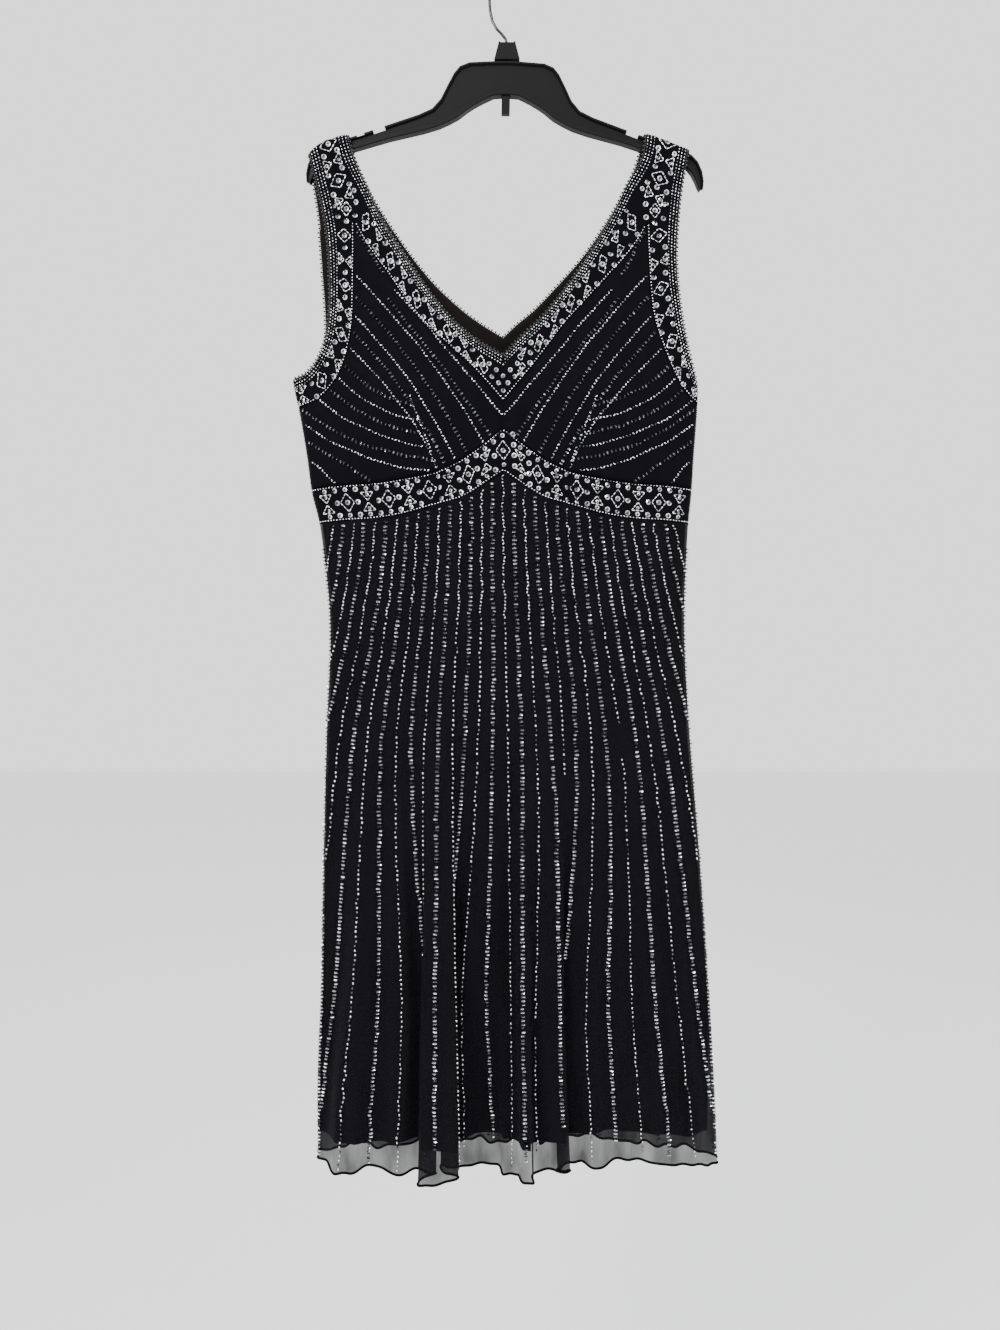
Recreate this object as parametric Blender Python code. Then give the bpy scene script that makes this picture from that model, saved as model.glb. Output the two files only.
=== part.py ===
"""Sleeveless beaded dress hanging on a plastic hanger.

Metres, +Z up. The front of the dress faces -Y and +X is to the right, seen from the front.
The origin is the inner top of the hanger's hook, where a rail or a nail carries everything.
Every cloth piece is a thin wall: its outer face comes from one surface function of the
garment, and its inner face lies a wall's thickness behind it. The tables are in millimetres.
"""
import math
from collections import namedtuple

import bmesh
import bpy
import numpy as np
from mathutils import Matrix, Vector

MM = 0.001

# Cloth walls and seams
CLOTH_WALL = 1.4
BAND_RISE = 0.8
SKIRT_WALL = 1.2
LINING_WALL = 1.0
HALF_GAP = 0.15
SEAM_GAP = 0.4

# Side profile: how fast a flattened tube of cloth rounds over at its side seams
SIDE_ROUNDING = 0.3

# Bodice
CENTRE_X = -4.0
SHOULDER_ROLL = 9.0
BUST_SWELL = 9.0
BUST_X = 100.0
BUST_Z = -437.0
BUST_WIDE = 52.0
BUST_TALL = 40.0
STRAP_ON_NECK = 66.0
STRAP_ON_MIDDLE = 98.0
STRAP_ON_ARM = 80.0
BACK_ARM_REACH = {"left": 12.0, "right": 2.5}

# Skirt. SEAM_CALM is how soon the folds reach their full depth away from a side seam.
HEM_Z = -1296.0
HEM_WAVE = 3.0
SEAM_CALM = 1.6
LINING_HEM_Z = -1262.0
LINING_INSET = (2.0, 5.0)
LINING_SETTLE = 14.0

Shoulder = namedtuple("Shoulder", "x z")
SHOULDER_LINE = (
    Shoulder(-216, -187.5),
    Shoulder(-208, -177.5),
    Shoulder(-201, -171.8),
    Shoulder(-193, -168.2),
    Shoulder(-172, -162.1),
    Shoulder(149, -161.3),
    Shoulder(172, -169.2),
    Shoulder(187, -174.2),
    Shoulder(197, -178.3),
)

# Half depth of the garment at each height: at an open armhole edge, at the front's and the
# back's middle, and the outline's left and right sides. The centre column is where the
# middle row of beads hangs, and rows is how many rows fit between it and a side seam.
Section = namedtuple("Section", "z left right centre edge front back rows")
SECTIONS = (
    Section(-150, -233, 207, -4, 9.0, 9.0, 9.0, 17.0),
    Section(-200, -233, 207, -4, 9.0, 9.0, 9.0, 17.0),
    Section(-260, -233, 207, -4, 9.0, 13.0, 11.0, 17.0),
    Section(-320, -233, 207, -4, 10.0, 20.0, 14.0, 17.0),
    Section(-370, -233, 207, -4, 9.0, 25.0, 18.0, 17.0),
    Section(-400, -233, 207, -4, 5.0, 28.0, 20.0, 17.0),
    Section(-421, -232, 207, -4, 0.0, 30.0, 21.0, 17.0),
    Section(-450, -226, 207, -4, 0.0, 31.0, 21.0, 17.0),
    Section(-500, -218, 204, -4, 0.0, 28.0, 19.0, 17.0),
    Section(-540, -213, 202, -4, 0.0, 25.0, 18.0, 17.0),
    Section(-575, -205, 199, -4, 0.0, 24.0, 18.0, 16.4),
    Section(-680, -195, 196, -2, 0.0, 25.0, 19.0, 15.0),
    Section(-800, -200, 203, 1, 0.0, 25.0, 21.0, 13.1),
    Section(-950, -206, 217, 3, 0.0, 19.0, 20.0, 12.2),
    Section(-1100, -211, 230, 5, 0.0, 14.0, 18.0, 11.6),
    Section(-1200, -216, 237, 6, 0.0, 11.5, 17.0, 11.3),
    Section(-1310, -217, 243, 7, 0.0, 10.0, 16.0, 11.0),
)

# Outlines of the pattern pieces, from the shoulder down, for the left and the right half.
# The first row of an outline that starts at the shoulder takes its height from that line.
Outline = namedtuple("Outline", "left_x left_z right_x right_z")
FRONT_NECK = (
    Outline(-172, 0, 149, 0),
    Outline(-164, -187, 145, -187),
    Outline(-151, -216, 130, -214),
    Outline(-136, -250, 113, -248),
    Outline(-112, -289, 91, -287),
    Outline(-88, -325, 65, -325),
    Outline(-63, -357, 39, -357),
    Outline(-36, -381, 17, -378),
    Outline(-4, -400, -4, -400),
)
BACK_NECK = (
    Outline(-172, 0, 149, 0),
    Outline(-163, -190, 140, -190),
    Outline(-149, -218, 126, -220),
    Outline(-129, -250, 108, -250),
    Outline(-103, -286, 84, -284),
    Outline(-78, -315, 54, -317),
    Outline(-50, -340, 31, -340),
    Outline(-27, -356, 11, -356),
    Outline(-4, -370, -4, -370),
)
FRONT_NECK_SEAM = (
    Outline(-191.5, 0, 171, 0),
    Outline(-178, -212, 160, -212),
    Outline(-163, -254, 149.5, -256),
    Outline(-148, -281, 134, -283),
    Outline(-124, -314, 107, -314),
    Outline(-106, -341, 83, -340),
    Outline(-86, -365, 62, -363),
    Outline(-63, -386, 43, -388),
    Outline(-38, -409, 25, -412),
    Outline(-4, -446, -4, -446),
)
BACK_NECK_SEAM = (
    Outline(-191.5, 0, 171, 0),
    Outline(-178, -212, 160, -212),
    Outline(-163, -254, 149.5, -256),
    Outline(-144, -283, 129, -285),
    Outline(-118, -315, 101, -315),
    Outline(-96, -340, 75, -340),
    Outline(-72, -361, 52, -361),
    Outline(-50, -377, 32, -378),
    Outline(-26, -394, 14, -396),
    Outline(-4, -414, -4, -414),
)
ARMHOLE = (
    Outline(-211, 0, 193, 0),
    Outline(-204, -207, 188.5, -199),
    Outline(-197, -235, 184.5, -224),
    Outline(-191.5, -265, 181.5, -256),
    Outline(-188.5, -305, 180, -290),
    Outline(-188, -342, 182, -325),
    Outline(-191.5, -375, 187, -360),
    Outline(-202, -401, 193, -387),
    Outline(-216, -416, 200, -411),
    Outline(-232, -421, 207, -427),
)
ARMHOLE_SEAM = (
    Outline(-163, -254, 149.5, -256),
    Outline(-163, -290, 150.5, -290),
    Outline(-163.5, -330, 152.5, -325),
    Outline(-165.5, -370, 157, -360),
    Outline(-174.5, -407, 168.5, -393),
    Outline(-189, -431, 181, -419),
    Outline(-205, -444, 193, -436),
    Outline(-226, -450, 207, -447),
)

# The empire band: its upper and lower seams, by distance from the centre line
Band = namedtuple("Band", "reach top bottom")
FRONT_BAND = (
    Band(0, -475, -519),
    Band(15, -487, -529),
    Band(30, -498, -539),
    Band(47, -509, -548),
    Band(64, -517, -553),
    Band(84, -523, -558),
    Band(110, -528, -565),
    Band(140, -532, -569.5),
    Band(175, -534, -571.5),
    Band(215, -538, -575),
)
BACK_BAND = (
    Band(0, -530, -569),
    Band(70, -531, -570),
    Band(140, -534, -572),
    Band(215, -538, -575),
)

# Skirt folds, as the turns in which the cloth steps forward or back on its way across. row
# is the bead row in the middle of a turn and reach its half width in rows. step is how far
# the cloth comes forward there at the hem, and take how much of its width the turn folds
# away: past 1 it doubles back under itself. It opens from the start height to the full one.
Turn = namedtuple("Turn", "row reach step take start full")
FRONT_TURNS = (
    Turn(-10.5, 0.80, 28, 0.30, -700, -1250),
    Turn(-9.2, 0.45, -11, 0.15, -760, -1250),
    Turn(-8.5, 0.40, 8, 0.10, -800, -1250),
    Turn(-7.6, 0.45, -9, 0.15, -800, -1250),
    Turn(-6.1, 0.85, 26, 2.00, -720, -1150),
    Turn(-3.5, 1.10, -30, 1.90, -700, -1150),
    Turn(-1.7, 0.60, -11, 0.10, -900, -1290),
    Turn(-0.55, 0.45, 18, 0.80, -1040, -1290),
    Turn(0.5, 0.70, 26, 0.80, -700, -1150),
    Turn(1.55, 0.42, -21, 1.30, -850, -1200),
    Turn(3.9, 1.05, -15, 1.75, -700, -1150),
    Turn(4.8, 0.50, -10, 0.10, -1000, -1290),
    Turn(5.7, 0.40, 8, 0.10, -860, -1250),
    Turn(6.5, 0.40, -6, 0.10, -860, -1250),
    Turn(8.1, 0.80, 10, 0.10, -680, -1250),
    Turn(9.3, 0.40, -4, 0.05, -700, -1250),
    Turn(9.9, 0.40, 6, 0.10, -820, -1250),
    Turn(10.6, 0.40, -12, 0.30, -760, -1250),
)
BACK_TURNS = (
    Turn(-10.2, 0.70, 14, 0.20, -720, -1250),
    Turn(-8.9, 0.50, -10, 0.15, -760, -1250),
    Turn(-7.6, 0.50, 5, 0.10, -800, -1250),
    Turn(-6.0, 0.80, 22, 1.70, -750, -1170),
    Turn(-3.9, 0.90, -30, 1.70, -750, -1170),
    Turn(-2.2, 0.50, 9, 0.15, -700, -1200),
    Turn(-1.2, 0.50, -9, 0.15, -700, -1200),
    Turn(0.6, 0.80, 24, 1.50, -800, -1220),
    Turn(2.0, 0.50, 10, 0.80, -850, -1250),
    Turn(3.7, 1.00, -31, 1.80, -800, -1230),
    Turn(5.6, 0.50, 10, 0.15, -720, -1200),
    Turn(6.6, 0.50, -9, 0.15, -720, -1200),
    Turn(8.2, 0.70, 9, 0.25, -760, -1250),
    Turn(9.4, 0.50, -7, 0.15, -780, -1250),
    Turn(10.4, 0.40, -7, 0.20, -780, -1250),
)

# Mesh density, and how much closer the columns lie at the sides and the rows at the top
SIDE_EASE = 1.6
SAG_EASE = 1.5
DROP_EASE = 0.9
TURN_WEIGHT = 9.0
BAND_STEPS = 3
BAND_COLUMNS = 11
PANEL_STEPS = 9
ROLL_ROWS = (0.0, 4.7, 9.4, 14.1)
SEAM_ROWS = (14.0, 6.0, 2.0)
FORK_ROW = 4.0
STRAP_SPANS = 3
ARM_SPANS = 8
LOW_SPANS = 4
SKIRT_COLUMNS = 72
SKIRT_BACK_COLUMNS = 64
SKIRT_SPANS = 10
LINING_PARTS = (0.0, 0.02, 0.16, 0.32, 0.48, 0.64, 0.82, 1.0)

# Hanger: upper and lower edge of its body at each station, seen from the front, before the
# small tilt at which it hangs
Station = namedtuple("Station", "top_x top_z low_x low_z")
HANGER_STATIONS = (
    Station(0, -85, 0, -121),
    Station(15, -85.5, 13, -122),
    Station(40, -87, 25, -127.5),
    Station(50, -91, 34, -132.5),
    Station(56, -98, 41, -137),
    Station(63, -111, 50, -144),
    Station(70, -125, 60, -149.5),
    Station(79, -135, 71, -154.5),
    Station(93, -141.5, 87, -159.5),
    Station(128, -153.5, 124, -168.5),
    Station(160, -164.5, 157, -178.5),
    Station(192, -174.5, 187, -187.5),
    Station(200, -178.5, 194, -192),
    Station(206.5, -185, 199.5, -198),
    Station(211.5, -195, 204, -206),
    Station(213.5, -205, 206.5, -212),
    Station(213, -213, 208.5, -215.5),
)
HANGER_TILT = math.radians(1.0)
HANGER_TOP_HALF = 4.2
HANGER_WEB_HALF = 1.5
HANGER_RIM_HALF = 5.6
HANGER_FULL_HEIGHT = 13.0
NOTCH_X = (136.0, 155.5)
NOTCH_TOP_Z = (-156.25, -162.95)
NOTCH_SLOPE = math.radians(19.0)
NOTCH_LENGTH = (13.0, 8.0)
NOTCH_DEPTH = (4.5, 3.0)
PEG_X = -0.5
PEG_TOP_Z = -116.0
PEG_WIDTH = 9.0
PEG_DROP = 24.0
PEG_DEPTH = 6.0

# Hook and the blank size clip at its foot
WIRE_RADIUS = 1.6
HOOK_INNER_RADIUS = 17.0
HOOK_END_ANGLE = -8.0
HOOK_FOOT_Z = -84.6
CLIP_TOP_Z = -67.5
CLIP_LOW_Z = -84.6
CLIP_TOP_WIDTH = 17.0
CLIP_LOW_WIDTH = 27.0
CLIP_DEPTH = 10.0
CLIP_CORNER_CUT = 1.5
CLIP_HOLE_RADIUS = 1.9


# Curves and tables

def lookup(places, values, at):
    """Smooth value between the rows of a table, whose places run upwards."""
    index = int(np.clip(np.searchsorted(places, at) - 1, 0, len(places) - 2))
    step = places[index + 1] - places[index]
    part = min(max((at - places[index]) / step, 0.0), 1.0)

    def slope(row):
        before, after = max(row - 1, 0), min(row + 1, len(places) - 1)
        return (values[after] - values[before]) / (places[after] - places[before])

    start, end = slope(index) * step, slope(index + 1) * step
    rise = values[index + 1] - values[index]
    return (values[index] + part * start + part ** 2 * (3 * rise - 2 * start - end)
            + part ** 3 * (start + end - 2 * rise))


SECTION_Z = np.array([row.z for row in SECTIONS[::-1]], dtype=float)
SECTION_VALUES = {name: np.array([getattr(row, name) for row in SECTIONS[::-1]], dtype=float)
                  for name in Section._fields}
SHOULDER_X = np.array([row.x for row in SHOULDER_LINE], dtype=float)
SHOULDER_Z = np.array([row.z for row in SHOULDER_LINE], dtype=float)


def section(name, z):
    return lookup(SECTION_Z, SECTION_VALUES[name], z)


def roll_centre(x):
    """Height of the axis round which a strap turns over the hanger's arm."""
    return lookup(SHOULDER_X, SHOULDER_Z, x) - SHOULDER_ROLL


def shoulder_top(x):
    """Where the shoulder seam lies when the strap's cloth is rolled out flat."""
    return roll_centre(x) + SHOULDER_ROLL * math.pi / 2 - HALF_GAP


def smooth_path(points):
    """Dense points of a smooth curve through the given ones, with their running length."""
    points = np.array(points, dtype=float)
    places = np.concatenate([[0], np.cumsum(np.linalg.norm(np.diff(points, axis=0), axis=1))])
    dense = np.linspace(0, places[-1], 24 * len(points))
    curve = np.array([[lookup(places, points[:, axis], at) for axis in (0, 1)] for at in dense])
    steps = np.linalg.norm(np.diff(curve, axis=0), axis=1)
    return curve, np.concatenate([[0], np.cumsum(steps)])


def walk(points, distances):
    """Points at the given distances along the smooth curve."""
    curve, length = smooth_path(points)
    return np.array([[np.interp(at, length, curve[:, axis]) for axis in (0, 1)]
                     for at in distances])


def outline(table, half, from_shoulder=True):
    """Flat points of one pattern edge, on the left or the right half."""
    points = [(row.left_x, row.left_z) if half == "left" else (row.right_x, row.right_z)
              for row in table]
    if from_shoulder:
        points[0] = (points[0][0], shoulder_top(points[0][0]))
    return points


# The garment's surface

def garment_point(side, x, flat_z):
    """Outer face of the bodice and band; side is -1 for the front and 1 for the back."""
    axis_z = roll_centre(x)
    if flat_z > axis_z:
        turn = (flat_z - axis_z) / SHOULDER_ROLL
        return Vector((x, side * SHOULDER_ROLL * math.cos(turn),
                       axis_z + SHOULDER_ROLL * math.sin(turn)))
    left, right = section("left", flat_z), section("right", flat_z)
    x = min(max(x, left), right)
    reach = CENTRE_X - left if x < CENTRE_X else right - CENTRE_X
    across = min(abs(x - CENTRE_X) / reach, 1.0)
    edge = max(section("edge", flat_z), 0.0)
    depth = section("front" if side < 0 else "back", flat_z)
    fullness = max(1 - across ** 2, 0.0) ** SIDE_ROUNDING
    if side < 0:
        wide = (abs(x - CENTRE_X) - BUST_X) / BUST_WIDE
        tall = (flat_z - BUST_Z) / BUST_TALL
        depth += BUST_SWELL * math.exp(-wide ** 2 - tall ** 2)
    return Vector((x, side * (HALF_GAP + edge + (depth - edge) * fullness), flat_z))


def growth(turn, z):
    """How far a turn has opened at a height, from 0 to 1."""
    part = min(max((turn.start - z) / (turn.start - turn.full), 0.0), 1.0)
    return part * part * (3 - 2 * part)


def turned(turn, row):
    """Share of a turn that lies between it and the left seam, from 0 to 1."""
    part = min(max((row - turn.row) / turn.reach, -1.0), 1.0)
    return (part + 1) / 2 + math.sin(math.pi * part) / (2 * math.pi)


def room(turns, row, z):
    """Width that the cloth between the centre and a row takes up, in rows laid flat."""
    taken = sum(turn.take * turn.reach * growth(turn, z) * (turned(turn, row) - turned(turn, 0))
                for turn in turns)
    return row - taken


def skirt_point(side, row, z, folded=True):
    """Outer face of the skirt at a bead row, counted from the centre, and a height."""
    turns = (FRONT_TURNS if side < 0 else BACK_TURNS) if folded else ()
    last = section("rows", z)
    row = min(max(row, -last), last)
    across = min(abs(room(turns, row, z) / room(turns, math.copysign(last, row), z)), 1.0)
    if room(turns, row, z) * row < 0:
        across = -across
    centre = section("centre", z)
    reach = centre - section("left", z) if row < 0 else section("right", z) - centre
    fullness = max(1 - across ** 2, 0.0) ** SIDE_ROUNDING
    depth = section("front" if side < 0 else "back", z) * fullness
    steps = sum(turn.step * growth(turn, z) * turned(turn, row) for turn in turns)
    depth += steps * min(fullness * SEAM_CALM, 1.0)
    x = centre + (across if row > 0 else -across) * reach
    return Vector((x, side * (HALF_GAP + depth), z))


def lining_point(side, row, z):
    """Outer face of the skirt lining, just inside the skirt's unfolded shape."""
    outer = skirt_point(side, row, z, folded=False)
    top_z = band_edge(side, outer.x, 1.0)
    depth = abs(skirt_point(side, 0.0, z, folded=False).y)
    drop = min(max((top_z - z) / LINING_SETTLE, 0.0), 1.0)
    inset = LINING_INSET[0] + (LINING_INSET[1] - LINING_INSET[0]) * drop
    centre = section("centre", z)
    reach = centre - section("left", z) if row < 0 else section("right", z) - centre
    x = centre + (outer.x - centre) * (reach - inset) / reach
    y = side * (HALF_GAP + (abs(outer.y) - HALF_GAP) * (depth - inset) / depth)
    return Vector((x, y, z))


def normal_at(surface, side, across, down, step_across, step_down):
    """Direction out of the garment at a point of a surface."""
    along = (surface(side, across + step_across, down)
             - surface(side, across - step_across, down))
    up = surface(side, across, down + step_down) - surface(side, across, down - step_down)
    return (along.cross(up) * -side).normalized()


# Meshes

def add_material(name, colour, roughness, metallic=0.0):
    material = bpy.data.materials.new(name)
    material.use_nodes = True
    shader = material.node_tree.nodes["Principled BSDF"]
    shader.inputs["Base Color"].default_value = (*colour, 1.0)
    shader.inputs["Roughness"].default_value = roughness
    shader.inputs["Metallic"].default_value = metallic
    return material


def add_object(name, bm, material, sharp_angle=40.0):
    """Put a finished mesh into the scene as one named piece."""
    bmesh.ops.recalc_face_normals(bm, faces=bm.faces)
    mesh = bpy.data.meshes.new(name)
    bm.to_mesh(mesh)
    bm.free()
    mesh.shade_smooth()
    mesh.set_sharp_from_angle(angle=math.radians(sharp_angle))
    mesh.materials.append(material)
    piece = bpy.data.objects.new(name, mesh)
    bpy.context.scene.collection.objects.link(piece)
    return piece


def add_wall(name, outer, inner, material):
    """Closed wall between two grids of points, with a rim round its four edges."""
    bm = bmesh.new()
    faces = []
    grids = [[[bm.verts.new(point * MM) for point in row] for row in grid]
             for grid in (outer, inner)]
    rows, columns = len(outer), len(outer[0])
    for grid, turned in ((grids[0], False), (grids[1], True)):
        for i in range(rows - 1):
            for j in range(columns - 1):
                ring = [grid[i][j], grid[i + 1][j], grid[i + 1][j + 1], grid[i][j + 1]]
                faces.append(ring[::-1] if turned else ring)
    rim = [(0, j) for j in range(columns)]
    rim += [(i, columns - 1) for i in range(1, rows)]
    rim += [(rows - 1, j) for j in range(columns - 2, -1, -1)]
    rim += [(i, 0) for i in range(rows - 2, 0, -1)]
    for here, following in zip(rim, rim[1:] + rim[:1]):
        faces.append([grids[0][here[0]][here[1]], grids[0][following[0]][following[1]],
                      grids[1][following[0]][following[1]], grids[1][here[0]][here[1]]])
    for ring in faces:
        bm.faces.new(ring)
    return add_object(name, bm, material)


def garment_wall(name, side, flat_grid, material, rise=0.0):
    """Wall of a bodice piece or band over a grid of flat points."""
    outer, inner = [], []
    for row in flat_grid:
        points = [garment_point(side, x, z) for x, z in row]
        normals = [normal_at(garment_point, side, x, z, 0.05, 0.5) for x, z in row]
        outer.append([point + normal * rise for point, normal in zip(points, normals)])
        inner.append([point - normal * CLOTH_WALL for point, normal in zip(points, normals)])
    return add_wall(name, outer, inner, material)


def between(start, end, steps, gap_start, gap_end, ease=1.0):
    """Points of one row between two edges, kept off each by its seam gap."""
    start, end = np.array(start), np.array(end)
    length = np.linalg.norm(end - start)
    parts = (np.arange(steps + 1) / steps) ** ease
    parts = (gap_start + parts * (length - gap_start - gap_end)) / length
    return [tuple(start + (end - start) * part) for part in parts]


# Bodice

def strap_distances(length):
    """Places along a strap edge: close together where it rolls over the hanger."""
    rest = np.linspace(ROLL_ROWS[-1], length, STRAP_SPANS + 1)[1:]
    return list(ROLL_ROWS) + list(rest)


def body_distances(start, end):
    """Places along an edge below the strap: close together at its end on a seam."""
    even = np.linspace(start, end - SEAM_ROWS[0], ARM_SPANS + 1)[1:]
    return [start + FORK_ROW] + list(even) + [end - SEAM_ROWS[1], end - SEAM_ROWS[2], end]


def edge_points(table, half, strap):
    """One edge from the shoulder to its end, in the rows that all bodice pieces share."""
    points = outline(table, half)
    total = smooth_path(points)[1][-1]
    return walk(points, strap_distances(strap) + body_distances(strap, total))


def seam_points(table, half):
    points = outline(table, half, from_shoulder=False)
    total = smooth_path(points)[1][-1]
    return walk(points, [0.0] + body_distances(0.0, total))


def band_seam(table, x, name):
    reach = [row.reach for row in table]
    return lookup(np.array(reach, dtype=float),
                  np.array([getattr(row, name) for row in table], dtype=float),
                  abs(x - CENTRE_X))


def add_bodice_half(side, half, material, band_material):
    """Neck band, armhole band and panel of one half of the front or the back."""
    name = "front" if side < 0 else "back"
    sign = -1 if half == "left" else 1
    neck_table = FRONT_NECK if side < 0 else BACK_NECK
    seam_table = FRONT_NECK_SEAM if side < 0 else BACK_NECK_SEAM
    band_table = FRONT_BAND if side < 0 else BACK_BAND
    neck = edge_points(neck_table, half, STRAP_ON_NECK)
    middle = edge_points(seam_table, half, STRAP_ON_MIDDLE)
    armhole = edge_points(ARMHOLE, half, STRAP_ON_ARM)
    if side > 0:
        reach = np.linspace(0, math.pi, len(armhole))
        armhole[:, 0] += sign * BACK_ARM_REACH[half] * np.sin(reach) ** 2
    strap_rows = len(strap_distances(STRAP_ON_MIDDLE))
    arm_seam = np.concatenate([middle[:strap_rows - 1], seam_points(ARMHOLE_SEAM, half)])
    for points in (neck, middle):
        points[-1][0] = CENTRE_X + sign * HALF_GAP
    for points in (armhole, arm_seam):
        points[-1][0] = section(half, points[-1][1])

    rows = [between(a, b, BAND_STEPS, 0.0, HALF_GAP) for a, b in zip(neck, middle)]
    garment_wall(f"neck_band_{name}_{half}", side, rows, band_material, BAND_RISE)
    rows = [between(a, b, BAND_STEPS, 0.0, HALF_GAP) for a, b in zip(armhole, arm_seam)]
    garment_wall(f"armhole_band_{name}_{half}", side, rows, band_material, BAND_RISE)

    low = np.linspace(0, 1, LOW_SPANS + 1)[1:]
    outer_z = arm_seam[-1][1] + (band_table[-1].top - arm_seam[-1][1]) * low
    outer = [tuple(point) for point in arm_seam[strap_rows:]]
    outer += [(section(half, z), z) for z in outer_z]
    centre_z = middle[-1][1] + (band_seam(band_table, CENTRE_X, "top") - middle[-1][1]) * low
    inner = [tuple(point) for point in middle[strap_rows:]]
    inner += [(CENTRE_X + sign * HALF_GAP, z) for z in centre_z]
    blend = [0.0] * (len(outer) - LOW_SPANS) + list(low ** SAG_EASE)
    last = between(outer[-1], inner[-1], PANEL_STEPS, 0.0, 0.0, SIDE_EASE)
    sag = [band_edge(side, x, 0.0) - z for x, z in last]
    rows = []
    for index, (a, b) in enumerate(zip(outer, inner)):
        gap = 0.0 if index >= len(outer) - LOW_SPANS else HALF_GAP
        row = between(a, b, PANEL_STEPS, gap, gap, SIDE_EASE)
        lift = SEAM_GAP if index == len(outer) - 1 else 0.0
        rows.append([(x, z + change * blend[index] + lift)
                     for (x, z), change in zip(row, sag)])
    garment_wall(f"bodice_{name}_{half}", side, rows, material)


def band_row(side, part):
    """Flat points across the empire band, part of the way from its upper seam down."""
    table = FRONT_BAND if side < 0 else BACK_BAND
    reach = np.linspace(0, 1, BAND_COLUMNS + 1) ** SIDE_EASE
    columns = []
    for half in ("left", "right"):
        end_z = table[-1].top + (table[-1].bottom - table[-1].top) * part
        end_x = section(half, end_z)
        columns.append(list(end_x + (CENTRE_X - end_x) * reach))
    row = []
    for x in columns[0] + columns[1][-2::-1]:
        top, low = band_seam(table, x, "top"), band_seam(table, x, "bottom")
        row.append((x, top + (low - top) * part))
    return row


def band_edge(side, x, part):
    """Height of a seam of the band at a place across, along its straight facets."""
    row = band_row(side, part)
    return float(np.interp(x, [point[0] for point in row], [point[1] for point in row]))


def add_midriff_band(side, material):
    name = "front" if side < 0 else "back"
    rows = [band_row(side, part) for part in (0.0, 0.5, 1.0)]
    return garment_wall(f"midriff_band_{name}", side, rows, material, BAND_RISE)


# Skirt and lining

def spread_columns(side, count):
    """Places across the skirt, as shares of its rows, closer where its folds turn.

    The columns nearest to the empire band's own points move onto them, so that both
    edges of that seam have the same corners.
    """
    shares = np.linspace(-1, 1, 1601)
    last = section("rows", HEM_Z)
    curve = np.array([skirt_point(side, share * last, HEM_Z)[:2] for share in shares])
    steps = np.diff(curve, axis=0)
    turns = np.unwrap(np.arctan2(steps[:, 1], steps[:, 0]))
    weight = np.linalg.norm(steps, axis=1)
    weight[1:] += TURN_WEIGHT * np.abs(np.diff(turns))
    measure = np.concatenate([[0], np.cumsum(weight)])
    columns = np.interp(np.linspace(0, measure[-1], count + 1), measure, shares)
    for x, z in band_row(side, 1.0)[1:-1]:
        end = "left" if x < CENTRE_X else "right"
        share = (x - section("centre", z)) / abs(section(end, z) - section("centre", z))
        columns[np.argmin(np.abs(columns[1:-1] - share)) + 1] = share
    return columns


def hem_z(side, row):
    return HEM_Z + HEM_WAVE * math.sin(1.1 * row + side) + 0.5 * HEM_WAVE * math.sin(2.7 * row)


def add_hanging_wall(name, side, surface, shares, parts, low_z, wall, material):
    """Wall of a skirt or lining panel that hangs from the empire band to a hem."""
    outer, inner = [], []
    for part in parts:
        outer_row, inner_row = [], []
        for share in shares:
            top = FRONT_BAND[-1].bottom
            for _ in range(4):
                x = skirt_point(side, share * section("rows", top), top).x
                top = band_edge(side, x, 1.0) - SEAM_GAP
            low = low_z(side, share * section("rows", HEM_Z))
            z = top + (low - top) * part
            row = share * section("rows", z)
            point = surface(side, row, z)
            normal = normal_at(surface, side, row, z, 0.004, 0.5)
            outer_row.append(point)
            inner_row.append(point - normal * wall)
        outer.append(outer_row)
        inner.append(inner_row)
    return add_wall(name, outer, inner, material)


def add_skirt(side, material, lining_material):
    name = "front" if side < 0 else "back"
    shares = spread_columns(side, SKIRT_COLUMNS if side < 0 else SKIRT_BACK_COLUMNS)
    parts = np.linspace(0, 1, SKIRT_SPANS + 1) ** DROP_EASE
    add_hanging_wall(f"skirt_{name}", side, skirt_point, shares, parts,
                     hem_z, SKIRT_WALL, material)
    add_hanging_wall(f"lining_{name}", side, lining_point, shares[::2], LINING_PARTS,
                     lambda *place: LINING_HEM_Z, LINING_WALL, lining_material)


# Hanger

def hanger_section(height):
    """Outline of the hanger's body across its thickness, by depth below its top edge."""
    scale = min(height / HANGER_FULL_HEIGHT, 1.0)
    half = [(0.4 * HANGER_TOP_HALF, 0.0), (HANGER_TOP_HALF, 1.5), (HANGER_TOP_HALF, 3.2),
            (HANGER_WEB_HALF, 4.4), (HANGER_WEB_HALF, height / scale - 5.4),
            (HANGER_RIM_HALF, height / scale - 4.2), (HANGER_RIM_HALF, height / scale - 0.8),
            (0.8 * HANGER_RIM_HALF, height / scale)]
    half = [(y * (0.5 + 0.5 * scale), drop * scale) for y, drop in half]
    return half + [(-y, drop) for y, drop in half[::-1]]


def hanger_ring(station, mirrored):
    sign = -1 if mirrored else 1
    top = Vector((sign * station.top_x, 0, station.top_z))
    low = Vector((sign * station.low_x, 0, station.low_z))
    down = low - top
    ring = []
    for y, drop in hanger_section(down.length):
        ring.append((top + down.normalized() * drop + Vector((0, y, 0))) * MM)
    return ring


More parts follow.
